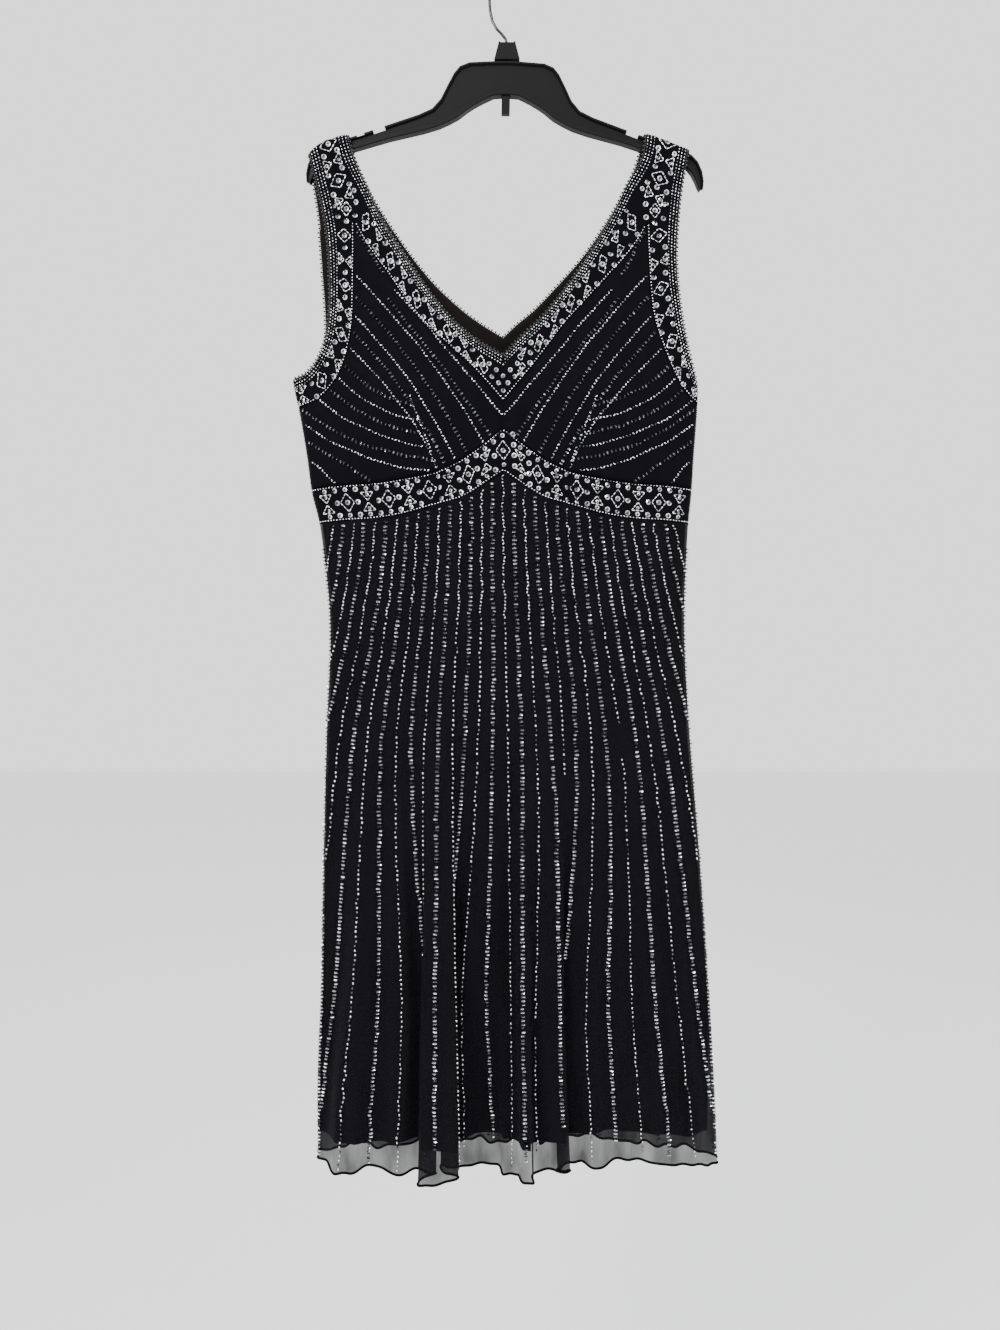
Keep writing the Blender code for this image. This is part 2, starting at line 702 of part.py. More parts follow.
def box_mesh(centre, size, turn=0.0):
    """Mesh of a box, turned about the Y axis, sizes in millimetres."""
    bm = bmesh.new()
    bmesh.ops.create_cube(bm, size=1.0)
    bmesh.ops.scale(bm, vec=Vector(size) * MM, verts=bm.verts)
    bmesh.ops.rotate(bm, cent=Vector(), matrix=Matrix.Rotation(turn, 3, "Y"), verts=bm.verts)
    bmesh.ops.translate(bm, vec=Vector(centre) * MM, verts=bm.verts)
    return bm


def add_guide(name, bm):
    """Hidden shape that cuts or joins another."""
    mesh = bpy.data.meshes.new(name)
    bm.to_mesh(mesh)
    bm.free()
    guide = bpy.data.objects.new(name, mesh)
    bpy.context.scene.collection.objects.link(guide)
    guide.hide_render = True
    guide.display_type = "WIRE"
    return guide


def add_boolean(piece, guide, operation):
    cut = piece.modifiers.new(guide.name, "BOOLEAN")
    cut.operation = operation
    cut.solver = "EXACT"
    cut.object = guide


def add_hanger_body(material):
    """Moulded body from tip to tip, its strap notches and the peg under its middle."""
    rings = [hanger_ring(station, True) for station in HANGER_STATIONS[:0:-1]]
    rings += [hanger_ring(station, False) for station in HANGER_STATIONS]
    bm = bmesh.new()
    loops = [[bm.verts.new(point) for point in ring] for ring in rings]
    count = len(loops[0])
    for first, second in zip(loops, loops[1:]):
        for j in range(count):
            following = (j + 1) % count
            bm.faces.new([first[j], second[j], second[following], first[following]])
    bm.faces.new(loops[0])
    bm.faces.new(loops[-1][::-1])
    body = add_object("hanger_body", bm, material)

    for half, sign in (("left", -1), ("right", 1)):
        for index, (x, z) in enumerate(zip(NOTCH_X, NOTCH_TOP_Z)):
            size = (NOTCH_LENGTH[index], 5 * HANGER_RIM_HALF, 2 * NOTCH_DEPTH[index])
            cutter = box_mesh((sign * x, 0, z), size, sign * NOTCH_SLOPE)
            add_boolean(body, add_guide(f"notch_{half}_{index}", cutter), "DIFFERENCE")
    peg = box_mesh((PEG_X, 0, PEG_TOP_Z - PEG_DROP / 2), (PEG_WIDTH, PEG_DEPTH, PEG_DROP))
    add_boolean(body, add_guide("peg", peg), "UNION")
    pivot = Vector((0, 0, HANGER_STATIONS[0].top_z)) * MM
    body.location = pivot
    body.rotation_euler = (0, HANGER_TILT, 0)
    for shape in [body] + [item.object for item in body.modifiers]:
        for vertex in shape.data.vertices:
            vertex.co -= pivot
        if shape is not body:
            shape.parent = body
    return body


def hook_points():
    """Centre line of the wire: up from the clip, a swan neck, then round over the rail."""
    radius = HOOK_INNER_RADIUS + WIRE_RADIUS
    neck = [(0, HOOK_FOOT_Z), (0, -76), (0, -68), (-1, -62.5), (-5, -57.5), (-11, -51.5),
            (-15.5, -43.5), (-17.6, -34), (-18.4, -25)]
    arc = [(radius * math.cos(turn), -HOOK_INNER_RADIUS + radius * math.sin(turn))
           for turn in np.radians(np.arange(180, HOOK_END_ANGLE - 1, -11.75))]
    return neck + arc


def add_hook(material):
    points = hook_points()
    path = bpy.data.curves.new("hanger_hook", "CURVE")
    path.dimensions = "3D"
    path.bevel_depth = WIRE_RADIUS * MM
    path.bevel_resolution = 2
    path.use_fill_caps = True
    line = path.splines.new("POLY")
    line.points.add(len(points) - 1)
    for point, (x, z) in zip(line.points, points):
        point.co = (x * MM, 0, z * MM, 1)
    path.materials.append(material)
    hook = bpy.data.objects.new("hanger_hook", path)
    bpy.context.scene.collection.objects.link(hook)
    return hook


def add_size_clip(material):
    """Bare trapezoid collar round the foot of the hook."""
    bm = bmesh.new()
    low, top, cut = CLIP_LOW_WIDTH / 2, CLIP_TOP_WIDTH / 2, CLIP_CORNER_CUT
    corners = [(-low, CLIP_LOW_Z), (low, CLIP_LOW_Z), (top, CLIP_TOP_Z + cut),
               (top - cut, CLIP_TOP_Z), (-top + cut, CLIP_TOP_Z), (-top, CLIP_TOP_Z + cut)]
    rings = [[bm.verts.new(Vector((x, y, z)) * MM) for x, z in corners]
             for y in (-CLIP_DEPTH / 2, CLIP_DEPTH / 2)]
    bm.faces.new(rings[0])
    bm.faces.new(rings[1][::-1])
    count = len(corners)
    for j in range(count):
        following = (j + 1) % count
        bm.faces.new([rings[0][j], rings[0][following], rings[1][following], rings[1][j]])
    clip = add_object("size_clip", bm, material)
    hole = bmesh.new()
    bmesh.ops.create_cone(hole, segments=16, radius1=CLIP_HOLE_RADIUS * MM,
                          radius2=CLIP_HOLE_RADIUS * MM, depth=40 * MM, cap_ends=True)
    middle_z = (CLIP_TOP_Z + CLIP_LOW_Z) / 2
    bmesh.ops.translate(hole, vec=Vector((0, 0, middle_z)) * MM, verts=hole.verts)
    add_boolean(clip, add_guide("wire_hole", hole), "DIFFERENCE")
    return clip


def main():
    for item in list(bpy.data.objects):
        bpy.data.objects.remove(item, do_unlink=True)
    bodice_black = (0.010, 0.010, 0.014)
    skirt_black = (0.009, 0.009, 0.013)
    bead_grey = (0.09, 0.09, 0.11)
    for side, name in ((-1, "front"), (1, "back")):
        for half in ("left", "right"):
            panel = add_material(f"bodice_{name}_{half}_cloth", bodice_black, 0.85)
            beads = add_material(f"band_{name}_{half}_beadwork", bead_grey, 0.4, 0.3)
            add_bodice_half(side, half, panel, beads)
        beads = add_material(f"midriff_{name}_beadwork", bead_grey, 0.4, 0.3)
        add_midriff_band(side, beads)
        chiffon = add_material(f"skirt_{name}_chiffon", skirt_black, 0.8)
        lining = add_material(f"lining_{name}_cloth", (0.012, 0.011, 0.012), 0.7)
        add_skirt(side, chiffon, lining)
    add_hanger_body(add_material("hanger_plastic", (0.018, 0.017, 0.017), 0.32))
    add_hook(add_material("hook_steel", (0.62, 0.62, 0.64), 0.2, 1.0))
    add_size_clip(add_material("clip_plastic", (0.015, 0.015, 0.016), 0.4))


main()
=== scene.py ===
"""Looks of the beaded dress on its hanger: cloth shells, beadwork, materials, light, camera.

The tables are in millimetres, in the frame of the part; the front of the dress faces -Y.
"""

import math
from collections import namedtuple

import bpy
import numpy as np
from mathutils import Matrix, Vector


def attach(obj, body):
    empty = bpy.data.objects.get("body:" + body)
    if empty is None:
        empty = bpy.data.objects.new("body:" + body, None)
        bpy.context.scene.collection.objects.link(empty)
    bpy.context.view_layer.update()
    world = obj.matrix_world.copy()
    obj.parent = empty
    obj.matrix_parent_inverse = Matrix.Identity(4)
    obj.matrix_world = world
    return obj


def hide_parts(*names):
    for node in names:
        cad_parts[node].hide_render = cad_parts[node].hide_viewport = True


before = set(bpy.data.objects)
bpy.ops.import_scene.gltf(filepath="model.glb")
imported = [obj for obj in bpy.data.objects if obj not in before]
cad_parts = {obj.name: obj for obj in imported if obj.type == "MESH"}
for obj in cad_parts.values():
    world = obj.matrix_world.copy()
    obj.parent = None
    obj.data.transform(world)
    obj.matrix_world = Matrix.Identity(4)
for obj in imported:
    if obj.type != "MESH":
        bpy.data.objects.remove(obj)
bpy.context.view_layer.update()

MM = 0.001
FRONT, BACK = -1, 1
SIDES = {FRONT: "front", BACK: "back"}
OUTWARD = {"left": -1, "right": 1}

# Cloth
CLOTH_WALL = 1.4
BAND_RISE = 0.8
CORD_SIDES = 6
HALF_GAP = 0.15
SIDE_ROUNDING = 0.3
SIDE_MARGIN = 1.004
CENTRE_X = -4.0
SHOULDER_ROLL = 9.0
GATHER_HEIGHT, GATHER_REACH, TUCK_DEPTH, TUCK_REACH = 0.9, 22, -1.6, 2.4
DRAG_HEIGHT = 0.8
RIPPLE_HEIGHT, RIPPLE_GROWTH, FLUTTER_HEIGHT = 0.35, 1.1, 2.2
BUST_SWELL, BUST_X, BUST_Z, BUST_WIDE, BUST_TALL = 9.0, 100.0, -437.0, 52.0, 40.0
STRAP_ON_NECK, STRAP_ON_MIDDLE, STRAP_ON_ARM = 66.0, 98.0, 80.0
BACK_ARM_REACH = {"left": 12.0, "right": 2.5}
HEM_Z = -1296.0
HEM_WAVE = 3.0
HEM_ROLL_RADIUS = 1.35
BACK_HEM_LIFT = 9.0
LINING_INSIDE = 1.6
LINING_SHRINK = 0.003
SHEER_STRIP, SHEER_Z = 0.033, (-1120.0, -1262.0)
SEAM_CALM = 1.6
SEAM_ROW_INSET = 0.10
LINING_HEM_Z = -1262.0
ROLL_ROWS = (0.0, 4.7, 9.4, 14.1)
SEAM_ROWS = (14.0, 6.0, 2.0)
FORK_ROW = 4.0
STRAP_SPANS = 3
ARM_SPANS = 8


def rows_of(kind, values):
    return [kind(*row) for row in values]


Shoulder = namedtuple("Shoulder", "x z")
SHOULDER_LINE = rows_of(Shoulder, (
    (-216, -187.5), (-208, -177.5), (-201, -171.8), (-193, -168.2), (-172, -162.1),
    (149, -161.3), (172, -169.2), (187, -174.2), (197, -178.3)))

# The garment at each height: its left and right sides, the place of the middle row of beads,
# half its depth at an open armhole edge and in the middle of the front and the back, and how
# many rows of beads fit between the middle one and a side seam.
Section = namedtuple("Section", "z left right centre edge front back rows")
SECTIONS = rows_of(Section, (
    (-150, -233, 207, -4, 9, 9, 9, 18.6), (-200, -233, 207, -4, 9, 9, 9, 18.6),
    (-260, -233, 207, -4, 9, 13, 11, 18.6), (-320, -233, 207, -4, 10, 20, 14, 18.6),
    (-370, -233, 207, -4, 9, 25, 18, 18.6), (-400, -233, 207, -4, 5, 28, 20, 18.6),
    (-421, -232, 207, -4, 0, 30, 21, 18.6), (-450, -226, 207, -4, 0, 31, 21, 18.6),
    (-500, -218, 204, -4, 0, 28, 19, 18.6), (-540, -213, 202, -4, 0, 25, 18, 18.3),
    (-575, -205, 199, -4, 0, 24, 18, 17.5), (-680, -195, 196, -2, 0, 25, 19, 15),
    (-800, -200, 203, 1, 0, 25, 21, 13.1), (-950, -206, 217, 3, 0, 19, 20, 12.2),
    (-1100, -211, 230, 5, 0, 14, 18, 11.6), (-1200, -216, 237, 6, 0, 11.5, 17, 11.3),
    (-1310, -217, 243, 7, 0, 10, 16, 11)))

# Outlines of the pattern pieces, from the shoulder down, for the left and the right half.
# The first row of an outline that starts at the shoulder takes its height from that line.
Outline = namedtuple("Outline", "left_x left_z right_x right_z")
FRONT_NECK = rows_of(Outline, (
    (-172, 0, 149, 0), (-164, -187, 145, -187), (-151, -216, 130, -214), (-136, -250, 113, -248),
    (-112, -289, 91, -287), (-88, -325, 65, -325), (-63, -357, 39, -357), (-36, -381, 17, -378),
    (-4, -400, -4, -400)))
BACK_NECK = rows_of(Outline, (
    (-172, 0, 149, 0), (-163, -190, 140, -190), (-149, -218, 126, -220), (-129, -250, 108, -250),
    (-103, -286, 84, -284), (-78, -315, 54, -317), (-50, -340, 31, -340), (-27, -356, 11, -356),
    (-4, -370, -4, -370)))
FRONT_NECK_SEAM = rows_of(Outline, (
    (-191.5, 0, 171, 0), (-178, -212, 160, -212), (-163, -254, 149.5, -256),
    (-148, -281, 134, -283), (-124, -314, 107, -314), (-106, -341, 83, -340),
    (-86, -365, 62, -363), (-63, -386, 43, -388), (-38, -409, 25, -412), (-4, -446, -4, -446)))
BACK_NECK_SEAM = rows_of(Outline, (
    (-191.5, 0, 171, 0), (-178, -212, 160, -212), (-163, -254, 149.5, -256),
    (-144, -283, 129, -285), (-118, -315, 101, -315), (-96, -340, 75, -340),
    (-72, -361, 52, -361), (-50, -377, 32, -378), (-26, -394, 14, -396), (-4, -414, -4, -414)))
ARMHOLE = rows_of(Outline, (
    (-211, 0, 193, 0), (-204, -207, 188.5, -199), (-197, -235, 184.5, -224),
    (-191.5, -265, 181.5, -256), (-188.5, -305, 180, -290), (-188, -342, 182, -325),
    (-191.5, -375, 187, -360), (-202, -401, 193, -387), (-216, -416, 200, -411),
    (-232, -421, 207, -427)))
ARMHOLE_SEAM = rows_of(Outline, (
    (-163, -254, 149.5, -256), (-163, -290, 150.5, -290), (-163.5, -330, 152.5, -325),
    (-165.5, -370, 157, -360), (-174.5, -407, 168.5, -393), (-189, -431, 181, -419),
    (-205, -444, 193, -436), (-226, -450, 207, -447)))

# The empire band: its upper and lower seams, by distance from the centre line
Seams = namedtuple("Seams", "reach top bottom")
FRONT_BAND = rows_of(Seams, (
    (0, -475, -519), (15, -487, -529), (30, -498, -539), (47, -509, -548), (64, -517, -553),
    (84, -523, -558), (110, -528, -565), (140, -532, -569.5), (175, -534, -571.5),
    (215, -538, -575)))
BACK_BAND = rows_of(Seams, (
    (0, -530, -569), (70, -531, -570), (140, -534, -572), (215, -538, -575)))
BANDS = {FRONT: FRONT_BAND, BACK: BACK_BAND}

# Skirt folds, as the turns in which the cloth steps forward or back on its way across. row
# is the bead row in the middle of a turn and reach its half width in rows. step is how far
# the cloth comes forward there at the hem, and take how much of its width the turn folds
# away: past 1 it doubles back under itself. It opens from the start height to the full one.
Turn = namedtuple("Turn", "row reach step take start full")
FRONT_TURNS = rows_of(Turn, (
    (-10.5, 0.8, 28, 0.3, -700, -1250), (-9.2, 0.45, -11, 0.15, -760, -1250),
    (-8.5, 0.4, 8, 0.1, -800, -1250), (-7.6, 0.45, -9, 0.15, -800, -1250),
    (-6.1, 0.85, 26, 2, -720, -1150), (-3.5, 1.1, -30, 1.9, -700, -1150),
    (-1.7, 0.6, -11, 0.1, -900, -1290), (-0.55, 0.45, 18, 0.8, -1040, -1290),
    (0.5, 0.7, 26, 0.8, -700, -1150), (1.55, 0.42, -21, 1.3, -850, -1200),
    (3.9, 1.05, -15, 1.75, -700, -1150), (4.8, 0.5, -10, 0.1, -1000, -1290),
    (5.7, 0.4, 8, 0.1, -860, -1250), (6.5, 0.4, -6, 0.1, -860, -1250),
    (8.1, 0.8, 10, 0.1, -680, -1250), (9.3, 0.4, -4, 0.05, -700, -1250),
    (9.9, 0.4, 6, 0.1, -820, -1250), (10.6, 0.4, -12, 0.3, -760, -1250)))
BACK_TURNS = rows_of(Turn, (
    (-10.2, 0.7, 14, 0.2, -720, -1250), (-8.9, 0.5, -10, 0.15, -760, -1250),
    (-7.6, 0.5, 5, 0.1, -800, -1250), (-6, 0.8, 22, 1.7, -750, -1170),
    (-3.9, 0.9, -30, 1.7, -750, -1170), (-2.2, 0.5, 9, 0.15, -700, -1200),
    (-1.2, 0.5, -9, 0.15, -700, -1200), (0.6, 0.8, 24, 1.5, -800, -1220),
    (2, 0.5, 10, 0.8, -850, -1250), (3.7, 1, -31, 1.8, -800, -1230),
    (5.6, 0.5, 10, 0.15, -720, -1200), (6.6, 0.5, -9, 0.15, -720, -1200),
    (8.2, 0.7, 9, 0.25, -760, -1250), (9.4, 0.5, -7, 0.15, -780, -1250),
    (10.4, 0.4, -7, 0.2, -780, -1250)))
TURNS = {FRONT: FRONT_TURNS, BACK: BACK_TURNS}

# Bead lines of the bodice's left half; the right half mirrors them. Each starts at a height
# on the armhole band or the side seam, or at a place on the neck band, and ends on the
# empire band, the bust seam or the neck band. The slopes are in degrees below level.
Line = namedtuple("Line", "start_z end_x end_z slope_in slope_out wide start_x", defaults=[None])
NECK_LINES = rows_of(Line, (
    (-266, -129, -313, 46, 46, True), (-328, -4, -462, 46, 47, False, -120),
    (-337, -17, -484, 52, 56, True, -127)))
BUST_LINES = rows_of(Line, (
    (-313, -25, -490, 46, 60, False), (-335, -42, -501, 46, 62, True),
    (-356, -55, -508, 46, 64, False), (-373, -66, -513, 47, 66, True),
    (-390, -76, -517, 46, 72, False)))
SIDE_LINES = rows_of(Line, (
    (-408, -97, -452, 50, 10, True), (-421, -92, -467, 50, 8, False),
    (-433, -87, -481, 44, 8, True), (-443, -83, -495, 42, 8, False),
    (-452, -79, -508, 40, 6, True), (-468, -84, -519, 38, 4, False),
    (-486, -146, -530, 34, 34, True), (-508, -184, -532, 34, 36, False)))
BACK_LINES = rows_of(Line, (
    (-372, -9, -440, 48, 52, False, -62), (-372, -10, -468, 48, 56, True, -78),
    (-268, -112, -322, 46, 46, True), (-296, -14, -505, 46, 62, False),
    (-320, -30, -528, 46, 66, True), (-342, -47, -528, 46, 68, False),
    (-362, -64, -528, 46, 68, True), (-380, -81, -528, 46, 66, False),
    (-397, -98, -529, 46, 62, True), (-413, -115, -529, 45, 58, False),
    (-427, -131, -530, 42, 54, True), (-440, -147, -530, 40, 50, False),
    (-455, -162, -530, 38, 46, True), (-474, -177, -531, 36, 42, False),
    (-495, -192, -532, 34, 38, True)))
BODICE_LINES = {FRONT: NECK_LINES + BUST_LINES + SIDE_LINES, BACK: BACK_LINES}
BUST_SEAM = np.array([(-103, -441), (-95, -462), (-86, -485), (-79, -503), (-74, -517)], float)

# Bead rows of the skirt: their number, where they stop and which have beads missing. The row
# pitch turns a sway in millimetres into rows.
ROWS_EACH_SIDE = 18
ROW_PITCH = 13.0
ROW_TOP, ROW_FOOT = -505, -1310
ROW_OFF_SEAM, ROW_OFF_HEM, SHORT_ROW_LIFT = 3, 5, 16
ROW_ENDS = {-9: -1290, -5: -1258, -1: -1266, 3: -1244, 4: -850, 5: -1060, 7: -1274, 9: -1284,
            11: -1262, -3: -1256, 1: -1272}
ROW_GAPS = {8: (-792, -828), -6: (-1010, -1026), 2: (-1120, -1140)}

# Beads: radii, distances and the shares of dark or short ones
FINE_RADIUS = 0.66
BUGLE_RADIUS = 0.62
BUGLE_LENGTH = 4.2
ZIGZAG_RADIUS = 0.74
THIN_RADIUS = 0.98
SEQUIN_RADIUS = 2.35
SEQUIN_SPACING = 4.3
SEQUIN_STRETCH = (0.62, 1.0, 1.0)
SEQUIN_LEAN = 0.22
SEQUIN_DARK_SHARE, BUGLE_DARK_SHARE, BUGLE_SHORT_SHARE = 0.15, 0.3, 0.2
BODICE_SEQUIN_RADIUS = 1.95
BODICE_SEQUIN_SPACING = 4.6
BUGLE_SPACING = 5.3
ZIGZAG_SPACING = 3.7
ZIGZAG_Z = (-640.0, -720.0)
FINE_SPACING = 3.4
STONE_RADIUS = 2.85
STONE_HOLE = 0.54
STONE_STEP = 10.6
PEAK_STONE_RADIUS = 2.5
PICOT_RADIUS, PICOT_SPACING = 1.15, 2.3

# Pattern of the bands: the length and the largest size of one figure, what stays free of it,
# and where the fine lines run along the edges
MOTIF_REPEAT = 22.5
EDGE_REPEAT = 26.0
FIGURE_TALL, DIAMOND_WIDE, HOURGLASS_WIDE = 10.0, 7.6, 6.8
PATTERN_MARGIN, STRAP_MARGIN, MIDRIFF_MARGIN = 2.2, 11.0, 2.4
NECK_BAND_LINES, ARM_BAND_LINES, MIDRIFF_LINES = (1.8, 5.4, 9.0), (1.8, 5.2, 8.6), (1.2,)
BOUND_LINE = -1.2

random = np.random.default_rng(20)


# Curves and surfaces, on whole arrays of places

def unit(vectors):
    return vectors / np.maximum(np.linalg.norm(vectors, axis=-1, keepdims=True), 1e-9)


def running_length(points):
    """How far along its line each point is."""
    return np.concatenate([[0], np.cumsum(np.linalg.norm(np.diff(points, axis=0), axis=1))])


def along_line(at, length, points):
    """Places at lengths along a line of points."""
    return np.stack([np.interp(at, length, values) for values in points.T], axis=-1)


def lookup(places, values, at):
    """Smooth values between the rows of a table, whose places run upwards."""
    places, values, at = (np.asarray(item, dtype=float) for item in (places, values, at))
    index = np.clip(np.searchsorted(places, at) - 1, 0, len(places) - 2)
    row = np.arange(len(places))
    before, after = np.maximum(row - 1, 0), np.minimum(row + 1, len(places) - 1)
    slope = (values[after] - values[before]) / (places[after] - places[before])
    step = places[index + 1] - places[index]
    part = np.clip((at - places[index]) / step, 0, 1)
    start, end = slope[index] * step, slope[index + 1] * step
    rise = values[index + 1] - values[index]
    return (values[index] + part * start + part ** 2 * (3 * rise - 2 * start - end)
            + part ** 3 * (start + end - 2 * rise))


def column(table, name):
    return np.array([getattr(row, name) for row in table], dtype=float)


def section(name, z):
    return lookup(column(SECTIONS, "z")[::-1], column(SECTIONS, name)[::-1], z)


def roll_centre(x):
    return lookup(column(SHOULDER_LINE, "x"), column(SHOULDER_LINE, "z"), x) - SHOULDER_ROLL


def shoulder_top(x):
    return float(roll_centre(x) + SHOULDER_ROLL * math.pi / 2 - HALF_GAP)


def bodice_face(side, x, z):
    """Outer face of the bodice and its bands at flat places."""
    x, z = np.broadcast_arrays(np.asarray(x, dtype=float), np.asarray(z, dtype=float))
    axis_z = roll_centre(x)
    turn = (z - axis_z) / SHOULDER_ROLL
    rolled = np.stack([x, side * SHOULDER_ROLL * np.cos(turn),
                       axis_z + SHOULDER_ROLL * np.sin(turn)], axis=-1)
    left, right = section("left", z), section("right", z)
    inside = np.clip(x, left, right)
    reach = np.where(inside < CENTRE_X, CENTRE_X - left, right - CENTRE_X)
    across = np.minimum(SIDE_MARGIN * np.abs(inside - CENTRE_X) / reach, 1)
    edge = np.maximum(section("edge", z), 0)
    depth = section(SIDES[side], z)
    fullness = np.maximum(1 - across ** 2, 0) ** SIDE_ROUNDING
    if side < 0:
        wide = (np.abs(inside - CENTRE_X) - BUST_X) / BUST_WIDE
        depth = depth + BUST_SWELL * np.exp(-wide ** 2 - ((z - BUST_Z) / BUST_TALL) ** 2)
    y = side * (HALF_GAP + edge + (depth - edge) * fullness + creases(side, inside, z) * fullness)
    return np.where((z > axis_z)[..., None], rolled, np.stack([inside, y, z], axis=-1))


def creases(side, x, z):
    """Gathers at the bust seams and soft drag lines of the hanging bodice."""
    from_centre = np.abs(x - CENTRE_X)
    if side < 0:
        away = from_centre - np.interp(z, BUST_SEAM[::-1, 1], CENTRE_X - BUST_SEAM[::-1, 0])
        near = np.exp(-(away / GATHER_REACH) ** 2) * np.clip((-436 - z) / 12, 0, 1)
        gather = GATHER_HEIGHT * near * np.sin(z / 1.9 + 0.06 * from_centre)
        tuck = (TUCK_DEPTH * np.exp(-(away / TUCK_REACH) ** 2)
                * np.clip((-430 - z) / 10, 0, 1))
    else:
        gather = tuck = 0.0
    hang = np.clip((-300 - z) / 80, 0, 1)
    slant = (from_centre + 0.55 * z) / 13.0 + 1.4 * np.sin(z / 61.0) + side
    return gather + tuck + DRAG_HEIGHT * hang * np.sin(slant)


def growth(turn, z):
    """How far a turn has opened at a height, from 0 to 1."""
    part = np.clip((turn.start - z) / (turn.start - turn.full), 0, 1)
    return part * part * (3 - 2 * part)


def turned(turn, row):
    """How far across a turn a bead row lies, from 0 to 1."""
    part = np.clip((row - turn.row) / turn.reach, -1, 1)
    return (part + 1) / 2 + np.sin(math.pi * part) / (2 * math.pi)


def room(turns, row, z):
    """Width in rows up to a bead row, without what the turns fold away."""
    return row - sum(turn.take * turn.reach * growth(turn, z)
                     * (turned(turn, row) - turned(turn, 0.0)) for turn in turns)


def skirt_face(side, row, z):
    """Outer face of the skirt at bead rows, counted from the centre, and heights."""
    row, z = np.broadcast_arrays(np.asarray(row, dtype=float), np.asarray(z, dtype=float))
    turns = TURNS[side]
    last = section("rows", z)
    row = np.clip(row, -last, last)
    taken = room(turns, row, z)
    across = np.abs(taken / room(turns, np.where(row < 0, -last, last), z)).clip(0, 1)
    across = np.where(taken * row < 0, -across, across)
    centre = section("centre", z)
    reach = np.where(row < 0, centre - section("left", z), section("right", z) - centre)
    fullness = np.maximum(1 - across ** 2, 0) ** SIDE_ROUNDING
    depth = section(SIDES[side], z) * fullness
    steps = sum(turn.step * growth(turn, z) * turned(turn, row) for turn in turns)
    steps = steps + wrinkles(side, row, z)
    depth = depth + steps * np.minimum(fullness * SEAM_CALM, 1)
    x = centre + np.where(row > 0, across, -across) * reach
    return np.stack([x, side * (HALF_GAP + depth), z + 0 * x], axis=-1)


def wrinkles(side, row, z):
    """Small upright ripples of the chiffon between its folds, livelier near the hem."""
    low = np.clip((-560 - z) / 700, 0, 1)
    wander = 0.5 * np.sin(z / 143.0 + side) + 0.3 * np.sin(z / 61.0 + row)
    fine = np.sin(5.3 * row + 2 * wander + side) + 0.6 * np.sin(8.9 * row - 3 * wander)
    flutter = np.clip((-1230 - z) / 66, 0, 1) ** 2 * np.sin(7.1 * row + 1.7 * np.sin(1.3 * row))
    return ((RIPPLE_HEIGHT + RIPPLE_GROWTH * low) * fine * 0.7
            + FLUTTER_HEIGHT * flutter)


def normals(face, side, across, down, step_across, step_down):
    """Directions out of the garment at places of a surface."""
    along = face(side, across + step_across, down) - face(side, across - step_across, down)
    up = face(side, across, down + step_down) - face(side, across, down - step_down)
    return unit(np.cross(along, up) * -side)


def on_skirt(side, row, z):
    """Points of the skirt and directions out of it, at bead rows and heights."""
    return skirt_face(side, row, z), normals(skirt_face, side, row, z, 0.004, 0.5)


# Pattern edges

def smooth_path(points):
    """Dense points of a smooth curve through the given ones, with their running length."""
    points = np.array(points, dtype=float)
    places = running_length(points)
    dense = np.linspace(0, places[-1], 24 * len(points))
    curve = np.stack([lookup(places, values, dense) for values in points.T], axis=1)
    return curve, running_length(curve)


def walk(points, distances):
    curve, length = smooth_path(points)
    return along_line(distances, length, curve)


def outline(table, half, from_shoulder=True):
    points = [(row.left_x, row.left_z) if half == "left" else (row.right_x, row.right_z)
              for row in table]
    if from_shoulder:
        points[0] = (points[0][0], shoulder_top(points[0][0]))
    return points


def strap_distances(length):
    return list(ROLL_ROWS) + list(np.linspace(ROLL_ROWS[-1], length, STRAP_SPANS + 1)[1:])


def body_distances(start, end):
    even = np.linspace(start, end - SEAM_ROWS[0], ARM_SPANS + 1)[1:]
    return [start + FORK_ROW] + list(even) + [end - SEAM_ROWS[1], end - SEAM_ROWS[2], end]


def finer(distances, times):
    """The same rows with more between them."""
    rows = np.arange(len(distances))
    return np.interp(np.linspace(0, rows[-1], rows[-1] * times + 1), rows, distances)


def bodice_edges(side, half, times):
    """Flat points along neck edge, strap seam, armhole and armhole seam, row by row."""
    neck, seam = (FRONT_NECK, FRONT_NECK_SEAM) if side < 0 else (BACK_NECK, BACK_NECK_SEAM)
    edges = []
    for table, strap in ((neck, STRAP_ON_NECK), (seam, STRAP_ON_MIDDLE),
                         (ARMHOLE, STRAP_ON_ARM)):
        points = outline(table, half)
        total = smooth_path(points)[1][-1]
        edges.append(walk(points, finer(strap_distances(strap) + body_distances(strap, total),
                                        times)))
    neck, middle, armhole = edges
    if side > 0:
        coarse = np.linspace(0, math.pi, len(armhole))
        armhole[:, 0] += OUTWARD[half] * BACK_ARM_REACH[half] * np.sin(coarse) ** 2
    points = outline(ARMHOLE_SEAM, half, from_shoulder=False)
    total = smooth_path(points)[1][-1]
    strap_rows = (len(strap_distances(STRAP_ON_MIDDLE)) - 1) * times
    low = walk(points, finer([0.0] + body_distances(0.0, total), times))
    arm_seam = np.concatenate([middle[:strap_rows], low])
    for points in (neck, middle):
        points[-1][0] = CENTRE_X
    for points in (armhole, arm_seam):
        points[-1][0] = section(half, points[-1][1])
    return neck, middle, armhole, arm_seam, strap_rows


def band_seam(side, x, name):
    """Height of the empire band's top or bottom seam."""
    table = BANDS[side]
    return lookup(column(table, "reach"), column(table, name), np.abs(x - CENTRE_X))


# Meshes

